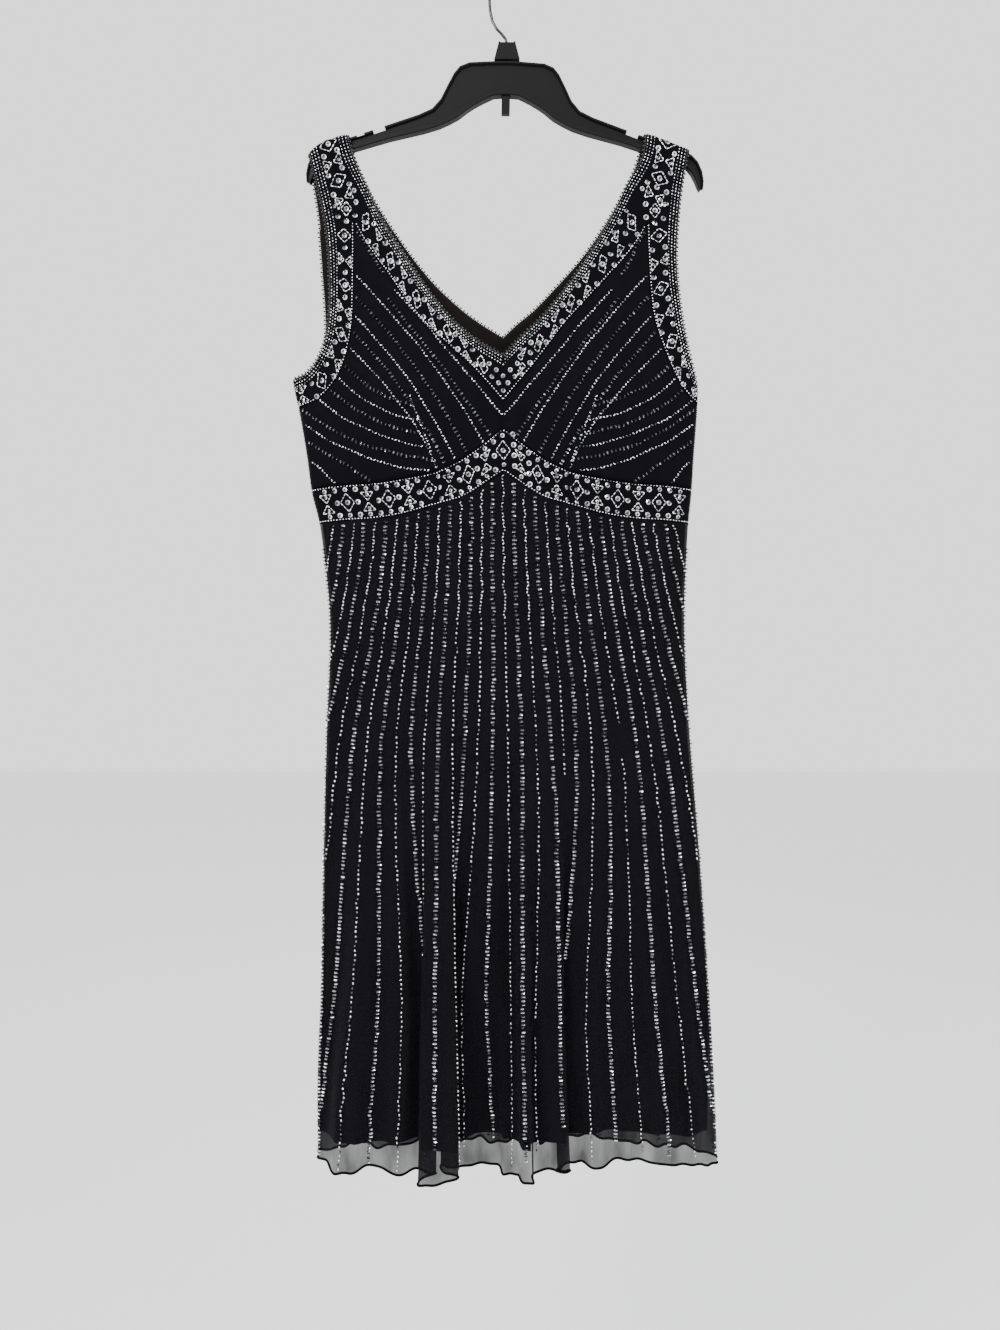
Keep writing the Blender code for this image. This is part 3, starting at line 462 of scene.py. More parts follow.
def new_object(name, points, faces, *materials):
    """A smooth mesh in millimetres, put into the scene as one piece on the root body."""
    mesh = bpy.data.meshes.new(name)
    faces = np.asarray(faces)
    mesh.vertices.add(len(points))
    mesh.vertices.foreach_set("co", (np.asarray(points, dtype=float) * MM).ravel())
    mesh.loops.add(faces.size)
    mesh.loops.foreach_set("vertex_index", faces.ravel())
    mesh.polygons.add(len(faces))
    mesh.polygons.foreach_set("loop_start", np.arange(len(faces)) * faces.shape[1])
    mesh.polygons.foreach_set("use_smooth", np.ones(len(faces), dtype=bool))
    mesh.update(calc_edges=True)
    mesh.validate()
    for material in materials:
        mesh.materials.append(material)
    piece = bpy.data.objects.new(name, mesh)
    bpy.context.scene.collection.objects.link(piece)
    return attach(piece, "root")


def stand_in(piece, node_name):
    """Put a piece in the place of a CAD node, whose mesh is hidden."""
    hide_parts(node_name)
    return piece


def grid_faces(rows, columns, turned_over=False):
    i, j = np.meshgrid(np.arange(rows - 1), np.arange(columns - 1), indexing="ij")
    corner = (i * columns + j).ravel()
    faces = np.stack([corner, corner + columns, corner + columns + 1, corner + 1], axis=1)
    return faces[:, ::-1] if turned_over else faces


def spread(start, end, parts):
    """Grid of flat places between two edges."""
    return start[:, None] + (end - start)[:, None] * parts[None, :, None]


def add_cord(name, line, radius, material):
    """Round cord along a line of points."""
    along = unit(np.gradient(line, axis=0))
    one = np.cross(along, [0.0, 0.0, 1.0])
    upright = np.linalg.norm(one, axis=1) < 0.05
    one[upright] = np.cross(along[upright], [0.0, 1.0, 0.0])
    one = unit(one)
    two = np.cross(along, one)
    turn = np.arange(CORD_SIDES + 1) * 2 * math.pi / CORD_SIDES
    ring = (one[:, None] * np.cos(turn)[None, :, None]
            + two[:, None] * np.sin(turn)[None, :, None])
    points = line[:, None] + ring * radius
    return new_object(name, points.reshape(-1, 3), grid_faces(len(line), CORD_SIDES + 1),
                      material)


# Beads

def barrel(ring_at, sides=5):
    """Small bead along its own thread: two rings of points and a point at each end."""
    turn = np.arange(sides) * 2 * math.pi / sides
    ends = [(-1, 0, 0)]
    for at in (-ring_at, ring_at):
        ends += [(at, math.cos(a), math.sin(a)) for a in turn]
    ends.append((1, 0, 0))
    faces = []
    for j in range(sides):
        a, b = 1 + j, 1 + (j + 1) % sides
        c, d = a + sides, b + sides
        faces += [(0, b, a), (a, b, d), (a, d, c), (2 * sides + 1, c, d)]
    return np.array(ends, dtype=float), np.array(faces), np.ones(len(ends))


def cup(sides, inner, sunk, lifted, painted_light):
    """Faceted cup sequin, seen along its third axis; painted_light gives a point's share of the
    tone, its painted light and shade.
    """
    turn = np.arange(sides) * 2 * math.pi / sides
    points = [(0, 0, sunk)]
    points += [(inner * math.cos(a), inner * math.sin(a), sunk) for a in turn]
    points += [(math.cos(a), math.sin(a), lifted) for a in turn]
    shares = [painted_light(0.0, 0.0)] + [painted_light(inner, a) for a in turn] + [painted_light(1.0, a) for a in turn]
    faces = []
    for j in range(sides):
        k = (j + 1) % sides
        faces += [(0, 1 + j, 1 + k), (1 + j, 1 + sides + j, 1 + sides + k),
                  (1 + j, 1 + sides + k, 1 + k)]
    return np.array(points), np.array(faces), np.array(shares)


def painted_rim_light(reach, turn):
    """Scale sequin: a painted highlight along its lower rim and painted shade over the rest, as
    if the next one covered it.
    """
    return 1.0 if reach > 0.0 and math.cos(turn) > 0.3 else 0.04


def whole_ring(reach, turn):
    """Single sequin: a ring round its dark middle, brighter on the side of the light."""
    if reach == 0.0:
        return 0.05
    return 1.0 if math.sin(turn + 0.5) > -0.3 else 0.3


SEED = barrel(0.45)
BUGLE = barrel(0.86)
# The scale sequin's tone holds a painted highlight on its lower rim and painted shade elsewhere.
CUP = cup(8, 0.34, -0.10, 0.28, painted_rim_light)
STONE = cup(8, 0.55, 0.30, 0.0, whole_ring)


class Beads:
    """Many small copies of a few shapes, joined into one mesh."""

    def __init__(self):
        self.points, self.faces, self.tones, self.flat, self.count = [], [], [], [], 0

    def add(self, shape, places, along, out, size, tone, tilt=0.0, smooth=True):
        """Copies at places, with half sizes along, across and out, and a tone from 0 to 1."""
        number = len(places)
        if not number:
            return
        points, faces, shares = shape
        out = unit(out + tilt * random.normal(size=(number, 3)))
        along = unit(along - out * (along * out).sum(1)[:, None])
        size = np.broadcast_to(np.asarray(size, dtype=float), (number, 3))
        made = places[:, None]
        for k, way in enumerate((along, np.cross(out, along), out)):
            made = made + points[None, :, k:k + 1] * (way * size[:, k:k + 1])[:, None]
        starts = self.count + np.arange(number) * len(points)
        self.points.append(made.reshape(-1, 3))
        self.faces.append((faces[None] + starts[:, None, None]).reshape(-1, 3))
        tone = np.broadcast_to(np.asarray(tone, dtype=float), (number,))
        self.tones.append((tone[:, None] * shares[None]).ravel())
        self.flat.append(np.full(number * len(faces), smooth))
        self.count += number * len(points)

    def finish(self, name, material, slot):
        piece = new_object(name, np.concatenate(self.points), np.concatenate(self.faces),
                           material)
        piece.data.polygons.foreach_set("use_smooth", np.concatenate(self.flat))
        tone = piece.data.attributes.new("tone", "FLOAT", "POINT")
        tone.data.foreach_set("value", np.concatenate(self.tones).astype(np.float32))
        return piece


def thread(line, out, spacing, uneven):
    """Places along a line of points, with the line's direction and the face's there."""
    length = running_length(line)
    at = np.arange(spacing / 2, length[-1], spacing)
    at = at + uneven * spacing * random.uniform(-1, 1, len(at))
    along = along_line(at + 0.5, length, line) - along_line(at - 0.5, length, line)
    return along_line(at, length, line), unit(along), unit(along_line(at, length, out))


def wide_row(beads, line, out, radius=SEQUIN_RADIUS, spacing=SEQUIN_SPACING, lowest=0.7):
    """Row of cup sequins that lie on each other like scales, each held by a dark bead; each
    sequin's lower rim is a painted highlight and the rest painted shade.
    """
    places, along, outs = thread(line, out, spacing, 0.10)
    number = len(places)
    turned_away = random.random(number) < SEQUIN_DARK_SHARE
    tone = np.where(turned_away, 0.1, random.uniform(lowest, 1.0, number))
    size = radius * random.uniform(0.88, 1.06, number)[:, None] * SEQUIN_STRETCH
    beads.add(CUP, places + outs, along, outs - SEQUIN_LEAN * along, size, tone, 0.20, False)
    beads.add(SEED, places - along * 0.2 * radius + outs * 1.2, along, outs,
              np.multiply(radius, (0.30, 0.40, 0.40)), random.uniform(0, 0.15, number))


def thin_row(beads, line, out, dimmest=0.25):
    """Row of short bugle beads, threaded in zigzag down to ZIGZAG_Z and straight below."""
    calm = np.interp(line[:, 2], ZIGZAG_Z[::-1], (1.0, 0.0))
    turn = np.flatnonzero(calm > 0.5)
    split = turn[0] if len(turn) else len(line)
    for part, spacing, lean, full, radius in (
            (slice(0, split), ZIGZAG_SPACING, 0.95, 1.35, ZIGZAG_RADIUS),
            (slice(split, None), BUGLE_SPACING, 0.08, 1.2, THIN_RADIUS)):
        if len(line[part]) < 4:
            continue
        places, along, outs = thread(line[part], out[part], spacing, 0.08)
        number = len(places)
        across = np.cross(outs, along)
        tilt = lean * np.where(np.arange(number) % 2, 1, -1) + random.normal(0, 0.12, number)
        dark = random.random(number) < BUGLE_DARK_SHARE
        tone = np.where(dark, random.uniform(0, 0.2, number),
                        random.uniform(dimmest, 0.85, number))
        long = np.where(random.random(number) < BUGLE_SHORT_SHARE, 0.7 * full, full)
        size = np.stack([long, np.full(number, radius), np.full(number, radius)], axis=1)
        beads.add(BUGLE, places + outs * 0.8, along + across * tilt[:, None], outs, size, tone,
                  0.05)


# Materials

SHEEN_TINT = (0.42, 0.42, 0.56, 1)


def feed(tree, target, **inputs):
    """Set a node's inputs to values, or link them to the outputs of other nodes."""
    for name, value in inputs.items():
        socket = target.inputs[name.replace("_", " ")]
        if isinstance(value, bpy.types.NodeSocket):
            tree.links.new(value, socket)
        else:
            socket.default_value = value
    return target


def node(tree, kind, output, **inputs):
    """Output of a new node."""
    return feed(tree, tree.nodes.new(kind), **inputs).outputs[output]


def shader_of(name, colour, roughness, **inputs):
    material = bpy.data.materials.new(name)
    material.use_nodes = True
    tree = material.node_tree
    shader = feed(tree, tree.nodes["Principled BSDF"], Base_Color=(*colour, 1),
                  Roughness=roughness, **inputs)
    return material, tree, shader


def vary(tree, source, low, high):
    """Values between low and high, by a texture."""
    return node(tree, "ShaderNodeMapRange", "Result", Value=source, From_Min=0.3, From_Max=0.7,
                To_Min=low, To_Max=high)


def noise(tree, scale, stretch=None):
    place = node(tree, "ShaderNodeTexCoord", "Object")
    if stretch:
        place = node(tree, "ShaderNodeMapping", "Vector", Vector=place, Scale=stretch)
    return node(tree, "ShaderNodeTexNoise", "Fac", Vector=place, Scale=scale, Detail=3.0)


def weave(tree, per_metre):
    """Height of a plain weave: warp and weft ridges crossing."""
    place = node(tree, "ShaderNodeTexCoord", "Object")
    product = node(tree, "ShaderNodeMath", "Value")
    product.node.operation = "MULTIPLY"
    for direction, factor in zip("XZ", product.node.inputs):
        wave = node(tree, "ShaderNodeTexWave", "Fac", Vector=place, Scale=per_metre,
                    Distortion=0.4)
        wave.node.bands_direction = direction
        tree.links.new(wave, factor)
    return product


def bump(tree, height, strength, distance):
    return node(tree, "ShaderNodeBump", "Normal", Height=height, Strength=strength,
                Distance=distance)


def cloth_material(name, colour, roughness, sheen, threads):
    material, tree, shader = shader_of(name, colour, roughness, Sheen_Weight=sheen,
                                       Sheen_Roughness=0.45, Sheen_Tint=SHEEN_TINT,
                                       Specular_IOR_Level=0.02)
    feed(tree, shader, Normal=bump(tree, weave(tree, threads), 0.35, 0.0003),
         Roughness=vary(tree, noise(tree, 90.0), 0.75 * roughness, min(1.25 * roughness, 1)))
    return material


def chiffon_material(name):
    """Sheer black cloth: its weave lets part of the light through, less where it bunches."""
    material, tree, shader = shader_of(name, (0.0042, 0.0040, 0.0054), 0.85, Sheen_Weight=0.02,
                                       Sheen_Roughness=0.5, Sheen_Tint=SHEEN_TINT,
                                       Specular_IOR_Level=0.03)
    feed(tree, shader, Normal=bump(tree, weave(tree, 420.0), 0.25, 0.0003),
         Alpha=vary(tree, noise(tree, 38.0, (1.0, 1.0, 0.3)), 0.74, 0.94))
    return material


def bead_material(name, dark, bright, roughness):
    """Metal-lined glass: each bead's own tone runs from hematite to silver; on the sequins the
    tone also carries their painted highlight and shade.
    """
    material, tree, shader = shader_of(name, bright, roughness, Metallic=1.0,
                                       Coat_Weight=0.35, Coat_Roughness=0.06)
    tone = node(tree, "ShaderNodeAttribute", "Fac")
    tone.node.attribute_name = "tone"
    colour = node(tree, "ShaderNodeValToRGB", "Color", Fac=tone)
    first, last = colour.node.color_ramp.elements
    first.color, last.color, last.position = (*dark, 1), (*bright, 1), 0.75
    feed(tree, shader, Base_Color=colour,
         Roughness=vary(tree, noise(tree, 700.0), 0.6 * roughness, 1.6 * roughness))
    return material


def plain_material(name, colour, roughness, grain, depth, **inputs):
    """Moulded or painted face, or metal, with a fine grain."""
    material, tree, shader = shader_of(name, colour, roughness, **inputs)
    height = noise(tree, grain)
    feed(tree, shader, Normal=bump(tree, height, 0.2, depth),
         Roughness=vary(tree, height, 0.8 * roughness, min(1.25 * roughness, 1)))
    return material


# Bodice and bands

EDGE_TIMES = 4
PANEL_SPREAD = np.linspace(0, 1, 29) ** 1.6
BAND_SPREAD = np.linspace(0, 1, 9)
LOW_PARTS = np.linspace(0, 1, 13)[1:]


def bodice_grids(side, half):
    """Flat places of the bands and the panel of one half, by piece."""
    neck, middle, armhole, arm_seam, strap_rows = bodice_edges(side, half, EDGE_TIMES)
    side_z = BANDS[side][-1].top
    outer_z = arm_seam[-1][1] + (side_z - arm_seam[-1][1]) * LOW_PARTS
    outer = np.concatenate([arm_seam[strap_rows:],
                            np.stack([section(half, outer_z), outer_z], axis=1)])
    foot = float(band_seam(side, CENTRE_X, "top"))
    inner_z = middle[-1][1] + (foot - middle[-1][1]) * LOW_PARTS
    inner_x = np.full(len(inner_z), CENTRE_X)
    inner = np.concatenate([middle[strap_rows:], np.stack([inner_x, inner_z], axis=1)])
    panel = spread(outer, inner, PANEL_SPREAD)
    sag = band_seam(side, panel[-1, :, 0], "top") - panel[-1, :, 1]
    blend = np.concatenate([np.zeros(len(outer) - len(LOW_PARTS)), LOW_PARTS ** 1.5])
    panel[..., 1] += blend[:, None] * sag[None, :]
    panel[-1, :, 1] += 0.3
    return {"neck_band": spread(neck, middle, BAND_SPREAD),
            "armhole_band": spread(armhole, arm_seam, BAND_SPREAD), "bodice": panel}


def midriff_grid(side):
    table = BANDS[side]
    rows = []
    for part in np.linspace(0, 1, 9):
        end_z = table[-1].top + (table[-1].bottom - table[-1].top) * part
        x = np.linspace(float(section("left", end_z)), float(section("right", end_z)), 121)
        top, low = band_seam(side, x, "top"), band_seam(side, x, "bottom")
        rows.append(np.stack([x, top + (low - top) * part], axis=1))
    return np.array(rows)


def on_bodice(side, flat, rise=0.0):
    """Points and directions on the bodice over flat places."""
    x, z = flat[..., 0], flat[..., 1]
    out = normals(bodice_face, side, x, z, 0.05, 0.5)
    return bodice_face(side, x, z) + out * rise, out


def add_wall(side, name, flat, rise, *materials):
    """Closed wall over flat places whose rows run so that its faces point out."""
    face, out = on_bodice(side, flat)
    rows, columns = flat.shape[:2]
    count = rows * columns
    outside = grid_faces(rows, columns)
    ring = np.concatenate([np.arange(columns), np.arange(1, rows) * columns + columns - 1,
                           (rows - 1) * columns + np.arange(columns - 2, -1, -1),
                           np.arange(rows - 2, 0, -1) * columns])
    after = np.roll(ring, -1)
    rim = np.stack([ring, after, after + count, ring + count], axis=1)
    points = np.concatenate([face + out * rise, face - out * CLOTH_WALL]).reshape(-1, 3)
    piece = new_object(name, points,
                       np.concatenate([outside, outside[:, ::-1] + count, rim]), *materials)
    index = np.zeros(len(piece.data.polygons), dtype=np.int32)
    index[len(outside):2 * len(outside)] = 1
    piece.data.polygons.foreach_set("material_index", index)
    return piece


def bugle_lines(beads, side, flat):
    """Bugle beads along straight lines from one flat place to the next."""
    for start, end in zip(flat, flat[1:]):
        length = np.linalg.norm(end - start)
        number = max(1, int(round(length / BUGLE_LENGTH)))
        share = (np.arange(number) + 0.5) / number
        spots = start + (end - start) * share[:, None]
        line, outs = on_bodice(side, spots, BAND_RISE)
        toe = on_bodice(side, spots + (end - start) / length * 0.5, BAND_RISE)[0]
        size = (length / number / 2 * 0.84, BUGLE_RADIUS, BUGLE_RADIUS)
        beads.add(BUGLE, line + outs * 0.6, toe - line, outs, size,
                  random.uniform(0.15, 0.85, number), 0.04)


def round_sequins(beads, side, spots, radius=STONE_RADIUS):
    """Single sequins at flat places, each held by a dark bead."""
    places, outs = on_bodice(side, spots, BAND_RISE)
    side_way = np.broadcast_to(np.array([1.0, 0.0, 0.0]), places.shape)
    number = len(places)
    beads.add(STONE, places + outs * 0.5, side_way, outs, (radius, radius, radius),
              random.uniform(0.35, 1.0, number), 0.12, False)
    beads.add(SEED, places + outs * 1.6, side_way, outs,
              (STONE_HOLE * radius, STONE_HOLE * radius, 1.0), random.uniform(0, 0.05, number))


# Round sequins in the point of the neck band's left half, from its lowest edge point
PEAK_STONES = np.array([(0, -21), (-7.5, -14.5), (-5, -28), (0, -36), (-12, -21.5), (-15, -8)])

# Where a left strap forks into its two bands: round sequins and a diamond, from the fork
FORK_STONES = np.array([(-8, 12), (-17, 4), (-17.5, 19), (2, 19), (1.5, 5), (-8, -1)])
FORK_DIAMOND = np.array([(-13.8, 12), (-8, 20), (-2.2, 12), (-8, 4), (-13.8, 12)])


class BeadedBand:
    """Band between two edges, measured along its middle and across from its first edge."""

    def __init__(self, side, first, second):
        self.side, self.first, self.second = side, first, second
        self.length = running_length((first + second) / 2)
        self.wide = np.linalg.norm(second - first, axis=1)

    def edges_at(self, at):
        return [along_line(at, self.length, edge) for edge in (self.first, self.second)]

    def line(self, beads, across, tones, start=0.0):
        """Line of fine seed beads that follows the first edge, or the second below zero."""
        at = np.linspace(start, self.length[-1], 300)
        wide = np.interp(at, self.length, self.wide)
        offset = np.full(len(at), across) if across >= 0 else wide + across
        keep = (offset > 0.4) & (offset < wide - 0.4)
        one, two = self.edges_at(at)
        flat = one + unit(two - one) * offset[:, None]
        line, out = on_bodice(self.side, flat[keep], BAND_RISE)
        places, along, outs = thread(line, out, FINE_SPACING, 0.06)
        tone = random.choice(tones, len(places))
        beads.add(SEED, places + outs * 0.5, along, outs,
                  (FINE_SPACING * 0.31, FINE_RADIUS, FINE_RADIUS), tone, 0.05)

    def mark(self, at, across, points):
        """Flat places of small drawn points, given along and across, round a place."""
        one, two = self.edges_at(at)
        ahead, behind = (np.mean(self.edges_at(at + step), axis=0) for step in (2.0, -2.0))
        along, over = unit(ahead - behind), unit(two - one)
        return np.array([one + over * across + along * p + over * q for p, q in points])

    def bugles(self, beads, at, across, corners):
        """Bugle beads along the sides of an open or closed figure."""
        bugle_lines(beads, self.side, self.mark(at, across, corners))

    def stones(self, beads, at, across, points, radius=STONE_RADIUS):
        round_sequins(beads, self.side, self.mark(at, across, points), radius)


def figure(beads, band, at, middle, half, diamond):
    """One diamond or one hourglass of bugle beads, with round sequins in and beside it."""
    tall = min(half - 0.6, FIGURE_TALL)
    if diamond:
        wide = min(DIAMOND_WIDE, 0.85 * tall + 1)
        band.bugles(beads, at, middle, [(-wide, 0), (0, tall), (wide, 0), (0, -tall), (-wide, 0)])
        band.stones(beads, at, middle, [(0, 0)])
    else:
        wide = min(HOURGLASS_WIDE, 0.8 * tall + 1)
        for up in (tall, -tall):
            band.bugles(beads, at, middle, [(-wide, up), (wide, up), (0, 0.1 * up), (-wide, up)])
        if half > 7:
            band.stones(beads, at, middle, [(0, 0.72 * tall), (0, -0.72 * tall)], 1.9)
    if half > tall + 5.0:
        rest = (half + tall) / 2 + 0.6
        band.stones(beads, at, middle, [(0, rest), (0, -rest)], 2.4)


def band_pattern(beads, band, first, last, columns, lines=(), bound=True, turn=0):
    """Common lattice of figures and round sequins between lines along both edges."""
    for across in lines:
        band.line(beads, across, (0.1, 0.3, 0.6, 0.9))
    if bound:
        band.line(beads, BOUND_LINE, (0.4, 0.7, 1.0), max(columns[0] - 14, 0))
    step = columns[1] - columns[0]
    for place, at in enumerate(columns):
        low, high = first, float(np.interp(at, band.length, band.wide)) - last
        middle, half = (low + high) / 2, (high - low) / 2
        if half < 3.2:
            continue
        figure(beads, band, at, middle, half, (place + turn) % 2 == 0)
        if place + 1 < len(columns):
            reach = half - 2.8
            count = int(reach * 2 / STONE_STEP) + 1
            spots = np.linspace(-reach, reach, count) if count > 1 else [0.0]
            band.stones(beads, at, middle, [(step / 2, spot) for spot in spots])


def columns_between(start, stop, repeat=EDGE_REPEAT):
    return np.linspace(start, stop, max(2, int(round((stop - start) / repeat)) + 1))


def picot(beads, side, edge, sign):
    """Row of black bead loops standing off an edge; sign says on which side they stand."""
    length = running_length(edge)
    flat = along_line(np.arange(1.0, length[-1], PICOT_SPACING), length, edge)
    ahead = unit(np.gradient(flat, axis=0))
    off = np.stack([-ahead[:, 1], ahead[:, 0]], axis=1) * sign
    for reach, step in ((0.3, 1), (1.9, 2)):
        line, outs = on_bodice(side, (flat + off * reach)[::step], -0.2)
        beads.add(SEED, line, np.gradient(line, axis=0), outs, (PICOT_RADIUS,) * 3,
                  random.uniform(0, 1, len(line)), 0.3)


def seam_x(half, z):
    """Flat place of the armhole seam, or of the side seam below it, at a height."""
    points = walk(outline(ARMHOLE_SEAM, half, False), np.linspace(0, 400, 400))
    if z > points[:, 1].min() + 1:
        return float(np.interp(-z, -points[:, 1], points[:, 0]))
    return float(section(half, z)) - OUTWARD[half] * 3


def bodice_line(beads, side, half, spec):
    """Curved row of beads from one place of the bodice to another."""
    inward = -OUTWARD[half]

    def mirrored(x):
        return x if half == "left" else 2 * CENTRE_X - x
    if spec.start_x is None:
        start_x = seam_x(half, spec.start_z) + 2.5 * inward
    else:
        start_x = mirrored(spec.start_x)
    start = np.array([start_x, spec.start_z])
    end = np.array([mirrored(spec.end_x), spec.end_z])
    pull = np.linalg.norm(end - start) / 3
    a, b = math.radians(spec.slope_in), math.radians(spec.slope_out)
    one = start + pull * np.array([inward * math.cos(a), -math.sin(a)])
    two = end - pull * np.array([inward * math.cos(b), -math.sin(b)])
    t = np.linspace(0, 1, 160)[:, None]
    flat = ((1 - t) ** 3 * start + 3 * (1 - t) ** 2 * t * one
            + 3 * (1 - t) * t ** 2 * two + t ** 3 * end)
    wander = 0.7 * np.sin(t * pull / 5.0 + spec.start_z) + 0.5 * np.sin(t * pull / 2.3)
    flat[:, 1:] += wander * np.sin(math.pi * t)
    line, out = on_bodice(side, flat)
    if spec.wide:
        wide_row(beads, line, out, BODICE_SEQUIN_RADIUS, BODICE_SEQUIN_SPACING, 0.25)
    else:
        thin_row(beads, line, out, 0.15)


def add_bodice(side, cloth, facing, band_cloth):
    """Cloth of the bodice and its bands on one side, as pieces by part."""
    name = SIDES[side]
    made = {}
    for half in OUTWARD:
        for part, flat in bodice_grids(side, half).items():
            turned_over = (side * OUTWARD[half] > 0) != (part == "neck_band")
            flat = flat[:, ::-1] if turned_over else flat
            node_name = f"{part}_{name}_{half}"
            if part == "bodice":
                piece = add_wall(side, f"{node_name}_cloth", flat, 0.0, cloth, facing)
                stand_in(piece, node_name)
            else:
                piece = add_wall(side, f"{node_name}_cloth", flat, BAND_RISE, band_cloth, facing)
                stand_in(piece, node_name)
            made[node_name] = piece
    flat = midriff_grid(side)
    piece = add_wall(side, f"midriff_band_{name}_cloth", flat if side > 0 else flat[::-1],
                     BAND_RISE, band_cloth, facing)
    made["midriff_band"] = stand_in(piece, f"midriff_band_{name}")
    return made


def add_band_beads(side, silver, black):
    """Beadwork of the bands and loops of beads along the edges."""
    band_beads, loops = Beads(), Beads()
    for half, outward in OUTWARD.items():
        neck, middle, armhole, arm_seam, strap_rows = bodice_edges(side, half, EDGE_TIMES)
        strap = BeadedBand(side, neck[:strap_rows + 4], armhole[:strap_rows + 4])
        neck_band = BeadedBand(side, neck, middle)
        arm_band = BeadedBand(side, armhole, arm_seam)
        fork = neck_band.length[strap_rows]
        arm_fork = arm_band.length[strap_rows]
        band_pattern(band_beads, neck_band, 11.0, PATTERN_MARGIN,
                     columns_between(fork + 16, neck_band.length[-1] - 29), NECK_BAND_LINES)
        band_pattern(band_beads, arm_band, 10.0, PATTERN_MARGIN,
                     columns_between(arm_fork + 16, arm_band.length[-1] - 9), ARM_BAND_LINES)
        band_pattern(band_beads, strap, 11.5, STRAP_MARGIN,
                     columns_between(8.0, strap.length[-1] - 9, MOTIF_REPEAT), bound=False)
        fork_place = arm_seam[strap_rows]
        round_sequins(band_beads, side, fork_place + FORK_STONES * (-outward, 1))
        bugle_lines(band_beads, side, fork_place + FORK_DIAMOND * (-outward, 1))
        picot(loops, side, neck, -outward)
        picot(loops, side, armhole, outward)
        if side < 0:
            low = np.linspace(armhole[-1][1] - 2, FRONT_BAND[-1].bottom, 60)
            picot(loops, side, np.stack([section(half, low), low], axis=1), outward)
        spots = PEAK_STONES if half == "left" else PEAK_STONES[PEAK_STONES[:, 0] != 0] * (-1, 1)
        round_sequins(band_beads, side, spots + (CENTRE_X, neck[-1][1]), PEAK_STONE_RADIUS)
    grid = midriff_grid(side)
    midriff = BeadedBand(side, grid[0], grid[-1])
    middle = float(np.interp(CENTRE_X, (grid[0, :, 0] + grid[-1, :, 0]) / 2, midriff.length))
    before, after = (int((length - 7) // MOTIF_REPEAT)
                     for length in (middle, midriff.length[-1] - middle))
    columns = middle + MOTIF_REPEAT * np.arange(-before, after + 1)
    band_pattern(band_beads, midriff, MIDRIFF_MARGIN, MIDRIFF_MARGIN, columns, MIDRIFF_LINES,
                 turn=before)
    return {"band_beads": band_beads.finish(f"band_beads_{SIDES[side]}", silver, "silver_beads"),
            "picot": loops.finish(f"picot_edge_{SIDES[side]}", black, "black_beads")}


def add_bodice_beads(side, silver):
    """Bead lines of the bodice's panels and bust seams."""
    lines = Beads()
    for half in OUTWARD:
        for spec in BODICE_LINES[side]:
            bodice_line(lines, side, half, spec)
        if side < 0:
            seam = BUST_SEAM.copy()
            if half == "right":
                seam[:, 0] = 2 * CENTRE_X - seam[:, 0]
            thin_row(lines, *on_bodice(side, smooth_path(seam)[0]))
    return {"lines": lines.finish(f"bodice_beads_{SIDES[side]}", silver, "silver_beads")}


# Skirt and lining

SKIRT_COLUMNS = 330
SKIRT_ROWS = 84
LINING_ROWS = 44
LINING_FLATTER = 0.97


def skirt_columns(side):
    """Shares across the skirt, closer where its folds turn."""
    shares = np.linspace(-1, 1, 2001)
    last = float(section("rows", HEM_Z))
    curve = skirt_face(side, shares * last, HEM_Z)[:, :2]
    steps = np.diff(curve, axis=0)
    turns = np.unwrap(np.arctan2(steps[:, 1], steps[:, 0]))
    weight = np.linalg.norm(steps, axis=1)
    weight[1:] += 5.0 * np.abs(np.diff(turns))
    measure = np.concatenate([[0], np.cumsum(weight)])
    return np.interp(np.linspace(0, measure[-1], SKIRT_COLUMNS + 1), measure, shares)


def skirt_top(side, share):
    """Height of the band's lower seam over a share of the skirt."""
    top = np.full(len(share), float(FRONT_BAND[-1].bottom))
    for _ in range(5):
        x = skirt_face(side, share * section("rows", top), top)[:, 0]
        top = band_seam(side, x, "bottom") - 0.3
    return top


def hem_height(side, row):
    """Uneven height of the hem at bead rows, a little higher behind."""
    wave = HEM_WAVE * np.sin(1.1 * row + side) + 0.5 * HEM_WAVE * np.sin(2.7 * row)
    flutter = 1.4 * np.sin(3.9 * row + 0.7 * side) + 0.8 * np.sin(8.3 * row)
    back_lift = BACK_HEM_LIFT * (1 + side) / 2 * np.clip(2.2 - 0.2 * np.abs(row), 0, 1)
    return HEM_Z + back_lift + wave + flutter


def hanging_grid(side, shares, low, parts):
    """Bead rows and heights of a grid from the band's seam down to the heights in low."""
    top = skirt_top(side, shares)
    z = top[None, :] + (low - top)[None, :] * parts[:, None]
    return shares[None, :] * section("rows", z), z


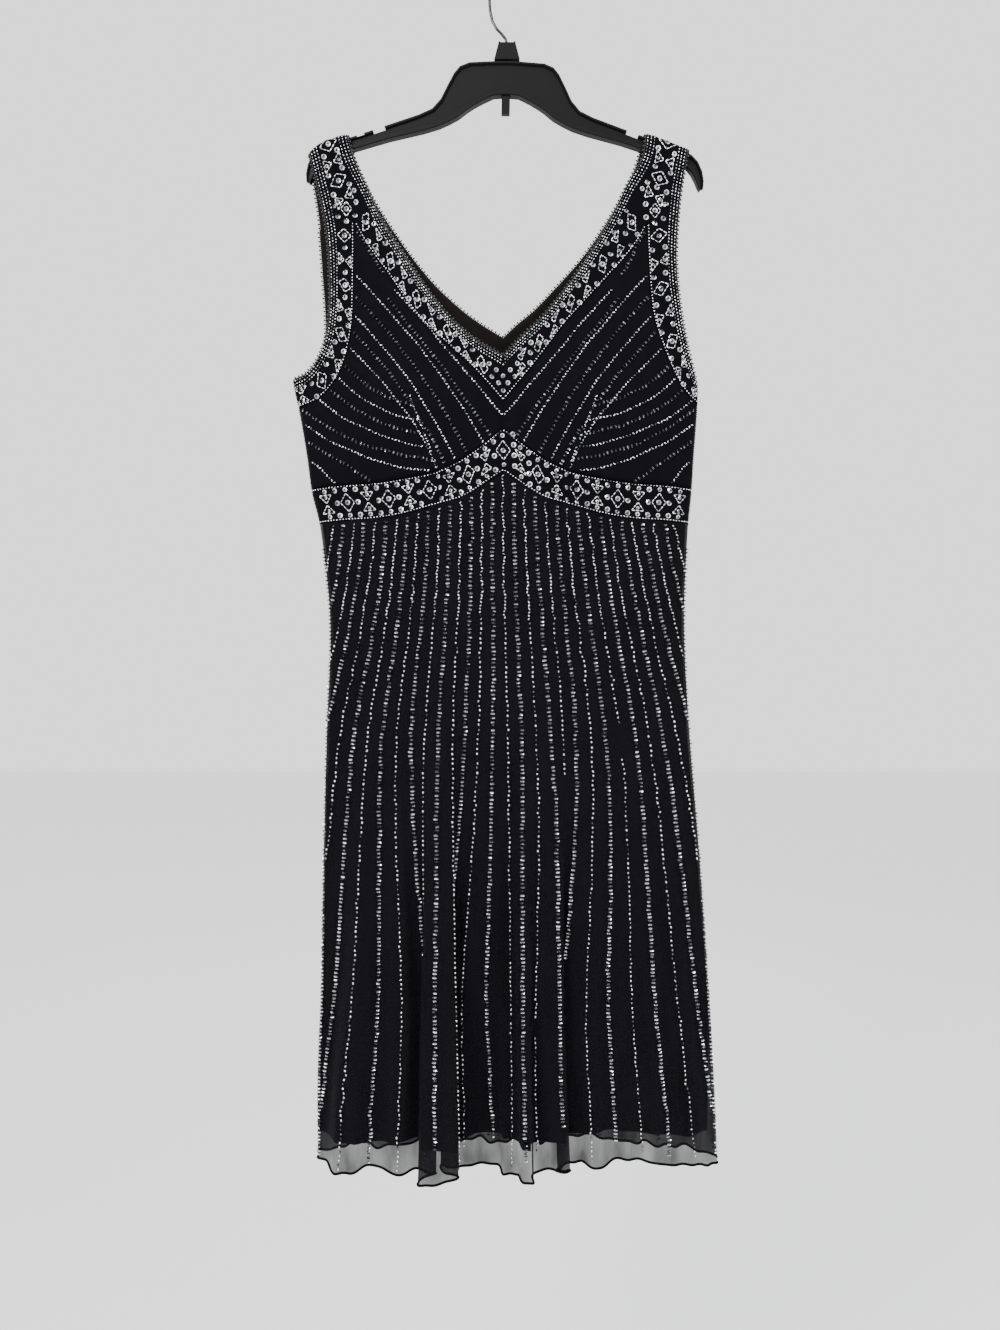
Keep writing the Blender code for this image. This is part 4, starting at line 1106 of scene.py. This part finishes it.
def add_skirt(side, chiffon, lining_cloth, hem_black):
    """Skirt panel with its rolled hem, and the lining inside it."""
    name = SIDES[side]
    shares = skirt_columns(side)
    last = float(section("rows", HEM_Z))
    low = hem_height(side, shares * last)
    row, z = hanging_grid(side, shares, low, np.linspace(0, 1, SKIRT_ROWS + 1) ** 0.95)
    face = skirt_face(side, row, z)
    skirt = new_object(f"skirt_{name}_chiffon", face.reshape(-1, 3),
                       grid_faces(*z.shape, side > 0), chiffon)
    hem = add_cord(f"hem_roll_{name}", face[-1], HEM_ROLL_RADIUS, hem_black)

    shares = shares[::3]
    low = LINING_HEM_Z + 2.0 * np.sin(0.9 * shares * last + 1) + 1.0 * np.sin(3.1 * shares * last)
    row, z = hanging_grid(side, shares, low, np.linspace(0, 1, LINING_ROWS + 1))
    face, out = on_skirt(side, row, z)
    face = face - out * LINING_INSIDE
    strip = np.interp(z, SHEER_Z[::-1], (SHEER_STRIP, 0.0)) * (row > 0)
    centre = section("centre", z)
    face[..., 0] = centre + (face[..., 0] - centre) * (1 - LINING_SHRINK - strip)
    face[..., 1] *= LINING_FLATTER
    lining = new_object(f"lining_{name}_cloth", face.reshape(-1, 3),
                        grid_faces(*z.shape, side > 0), lining_cloth)
    return {"skirt": stand_in(skirt, f"skirt_{name}"), "hem": hem,
            "lining": stand_in(lining, f"lining_{name}")}


def bead_row_heights(side, bead_row):
    """Heights along one bead row, without its gaps."""
    z = np.linspace(ROW_TOP, ROW_FOOT, 1200)
    top = skirt_top(side, np.array([bead_row / float(section("rows", -560))]))[0]
    foot = float(hem_height(side, float(bead_row))) + ROW_OFF_HEM
    if side < 0 and bead_row in ROW_ENDS:
        foot = ROW_ENDS[bead_row]
    elif abs(bead_row) % 5 == 2:
        foot += SHORT_ROW_LIFT
    keep = (z < top - ROW_OFF_SEAM) & (z > foot) & (np.abs(bead_row) < section("rows", z) - 0.2)
    if side < 0 and bead_row in ROW_GAPS:
        high, deep = ROW_GAPS[bead_row]
        keep &= (z > high) | (z < deep)
    return z[keep]


def add_skirt_beads(side, silver):
    """Hanging rows of the skirt: sequins on the odd rows, bugle beads on the even ones."""
    wide_rows, thin_rows = Beads(), Beads()
    for bead_row in range(-ROWS_EACH_SIDE, ROWS_EACH_SIDE + 1):
        z = bead_row_heights(side, bead_row)
        if len(z) < 20:
            continue
        wide = bead_row % 2 != 0
        knots = np.arange(-1320, -480, 8.0 if wide else 6.0)
        swing = random.normal(0, 0.6 if wide else 0.8, len(knots))
        fade = np.clip((z + 1300) / 700, 0.35, 1)
        row = bead_row + np.interp(z, knots, swing) * fade / ROW_PITCH
        line, out = on_skirt(side, row, z)
        cuts = np.flatnonzero(np.abs(np.diff(z)) > 5) + 1
        for places, outs in zip(np.split(line, cuts), np.split(out, cuts)):
            if wide:
                wide_row(wide_rows, places, outs)
            else:
                thin_row(thin_rows, places, outs)
    for sign in (-1, 1):
        z = np.linspace(-600, -1292, 900)
        row = sign * (section("rows", z) - SEAM_ROW_INSET)
        wide_row(wide_rows, *on_skirt(side, row, z))
    return {"wide": wide_rows.finish(f"sequin_rows_{SIDES[side]}", silver, "silver_beads"),
            "thin": thin_rows.finish(f"bugle_rows_{SIDES[side]}", silver, "silver_beads")}


# Everything together

bodice_cloth = cloth_material("bodice_cloth", (0.0032, 0.0030, 0.0044), 0.9, 0.010, 330.0)
facing = cloth_material("facing_cloth", (0.008, 0.007, 0.006), 0.8, 0.03, 260.0)
band_cloth = cloth_material("band_cloth", (0.0028, 0.0027, 0.0038), 0.9, 0.008, 330.0)
lining_cloth = cloth_material("lining_cloth", (0.0030, 0.0029, 0.0038), 0.8, 0.012, 480.0)
chiffon = chiffon_material("chiffon")
hem_black = cloth_material("hem_thread", (0.003, 0.003, 0.004), 0.9, 0.0, 900.0)
silver = bead_material("silver_beads", (0.008, 0.009, 0.015), (0.97, 0.97, 1.0), 0.20)
black = plain_material("black_beads", (0.006, 0.006, 0.008), 0.18, 600.0, 0.0001)

cloth = {}
for side, name in SIDES.items():
    cloth[name] = {**add_bodice(side, bodice_cloth, facing, band_cloth),
                   **add_band_beads(side, silver, black), **add_bodice_beads(side, silver),
                   **add_skirt(side, chiffon, lining_cloth, hem_black),
                   **add_skirt_beads(side, silver)}

hanger_black = plain_material("hanger_plastic", (0.0040, 0.0036, 0.0036), 0.48, 900.0, 0.00005,
                             Specular_IOR_Level=0.11)
# Chromed hook with its colour set far darker than chrome: a painted dark reflection, so it reads
# black with bright glints in the pale room.
painted_dark_steel = plain_material("hook_steel", (0.05, 0.05, 0.055), 0.18, 500.0, 0.00005, Metallic=1.0)
clip_black = plain_material("clip_plastic", (0.003, 0.003, 0.0035), 0.5, 900.0, 0.00005,
                            Specular_IOR_Level=0.12)
for node_name, material in (("hanger_body", hanger_black), ("hanger_hook", painted_dark_steel),
                            ("size_clip", clip_black)):
    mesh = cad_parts[node_name].data
    mesh.materials.clear()
    mesh.materials.append(material)


def hang(piece, cut, held_by, riders=()):
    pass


for name, made in cloth.items():
    for half in OUTWARD:
        for part in ("bodice", "neck_band", "armhole_band"):
            riders = [made["lines"]] if (part, half) == ("bodice", "left") else []
            hang(made[f"{part}_{name}_{half}"], f"{part}_{name}", "hanger_body", riders)
    band = made["midriff_band"]
    hang(band, f"midriff_band_{name}", made[f"bodice_{name}_left"],
         [made["band_beads"], made["picot"]])
    hang(made["skirt"], f"skirt_{name}", band, [made["hem"], made["wide"], made["thin"]])
    hang(made["lining"], f"lining_{name}", band)


# Stage: pale floor far below, soft light from above on both sides, a pale room round it

def add_light(name, place, target, size, power, colour):
    data = bpy.data.lights.new(name, "AREA")
    data.shape = "RECTANGLE"
    data.size, data.size_y = size
    data.energy = power
    data.color = colour
    lamp = bpy.data.objects.new(name, data)
    lamp.location = place
    lamp.rotation_euler = (Vector(target) - Vector(place)).to_track_quat("-Z", "Y").to_euler()
    bpy.context.scene.collection.objects.link(lamp)


bpy.ops.mesh.primitive_plane_add(size=14, location=(0, 0, -2.1))
floor = bpy.context.object
floor.name = "floor"
floor.data.materials.append(
    plain_material("floor_paint", (0.86, 0.865, 0.87), 0.9, 3.0, 0.0005))
add_light("key", (-1.3, -2.2, 0.9), (0, 0, -0.6), (0.9, 1.2), 90, (1.0, 0.99, 0.97))
add_light("fill", (1.9, -1.7, 0.0), (0, 0, -0.8), (0.9, 1.9), 26, (0.93, 0.96, 1.0))
add_light("back", (0.8, 2.4, 0.8), (0, 0, -0.7), (1.6, 1.6), 30, (1.0, 1.0, 1.0))

world = bpy.data.worlds.new("room")
bpy.context.scene.world = world
world.use_nodes = True
feed(world.node_tree, world.node_tree.nodes["Background"], Color=(0.90, 0.905, 0.90, 1),
     Strength=1.85)

camera = bpy.data.cameras.new("camera")
camera.lens, camera.sensor_width, camera.sensor_fit = 27.07, 36.0, "AUTO"
eye = bpy.data.objects.new("camera", camera)
eye.location = (-0.0074, -1.108, -0.652)
eye.rotation_euler = (math.radians(86.0), 0, 0)
bpy.context.scene.collection.objects.link(eye)
bpy.context.scene.camera = eye
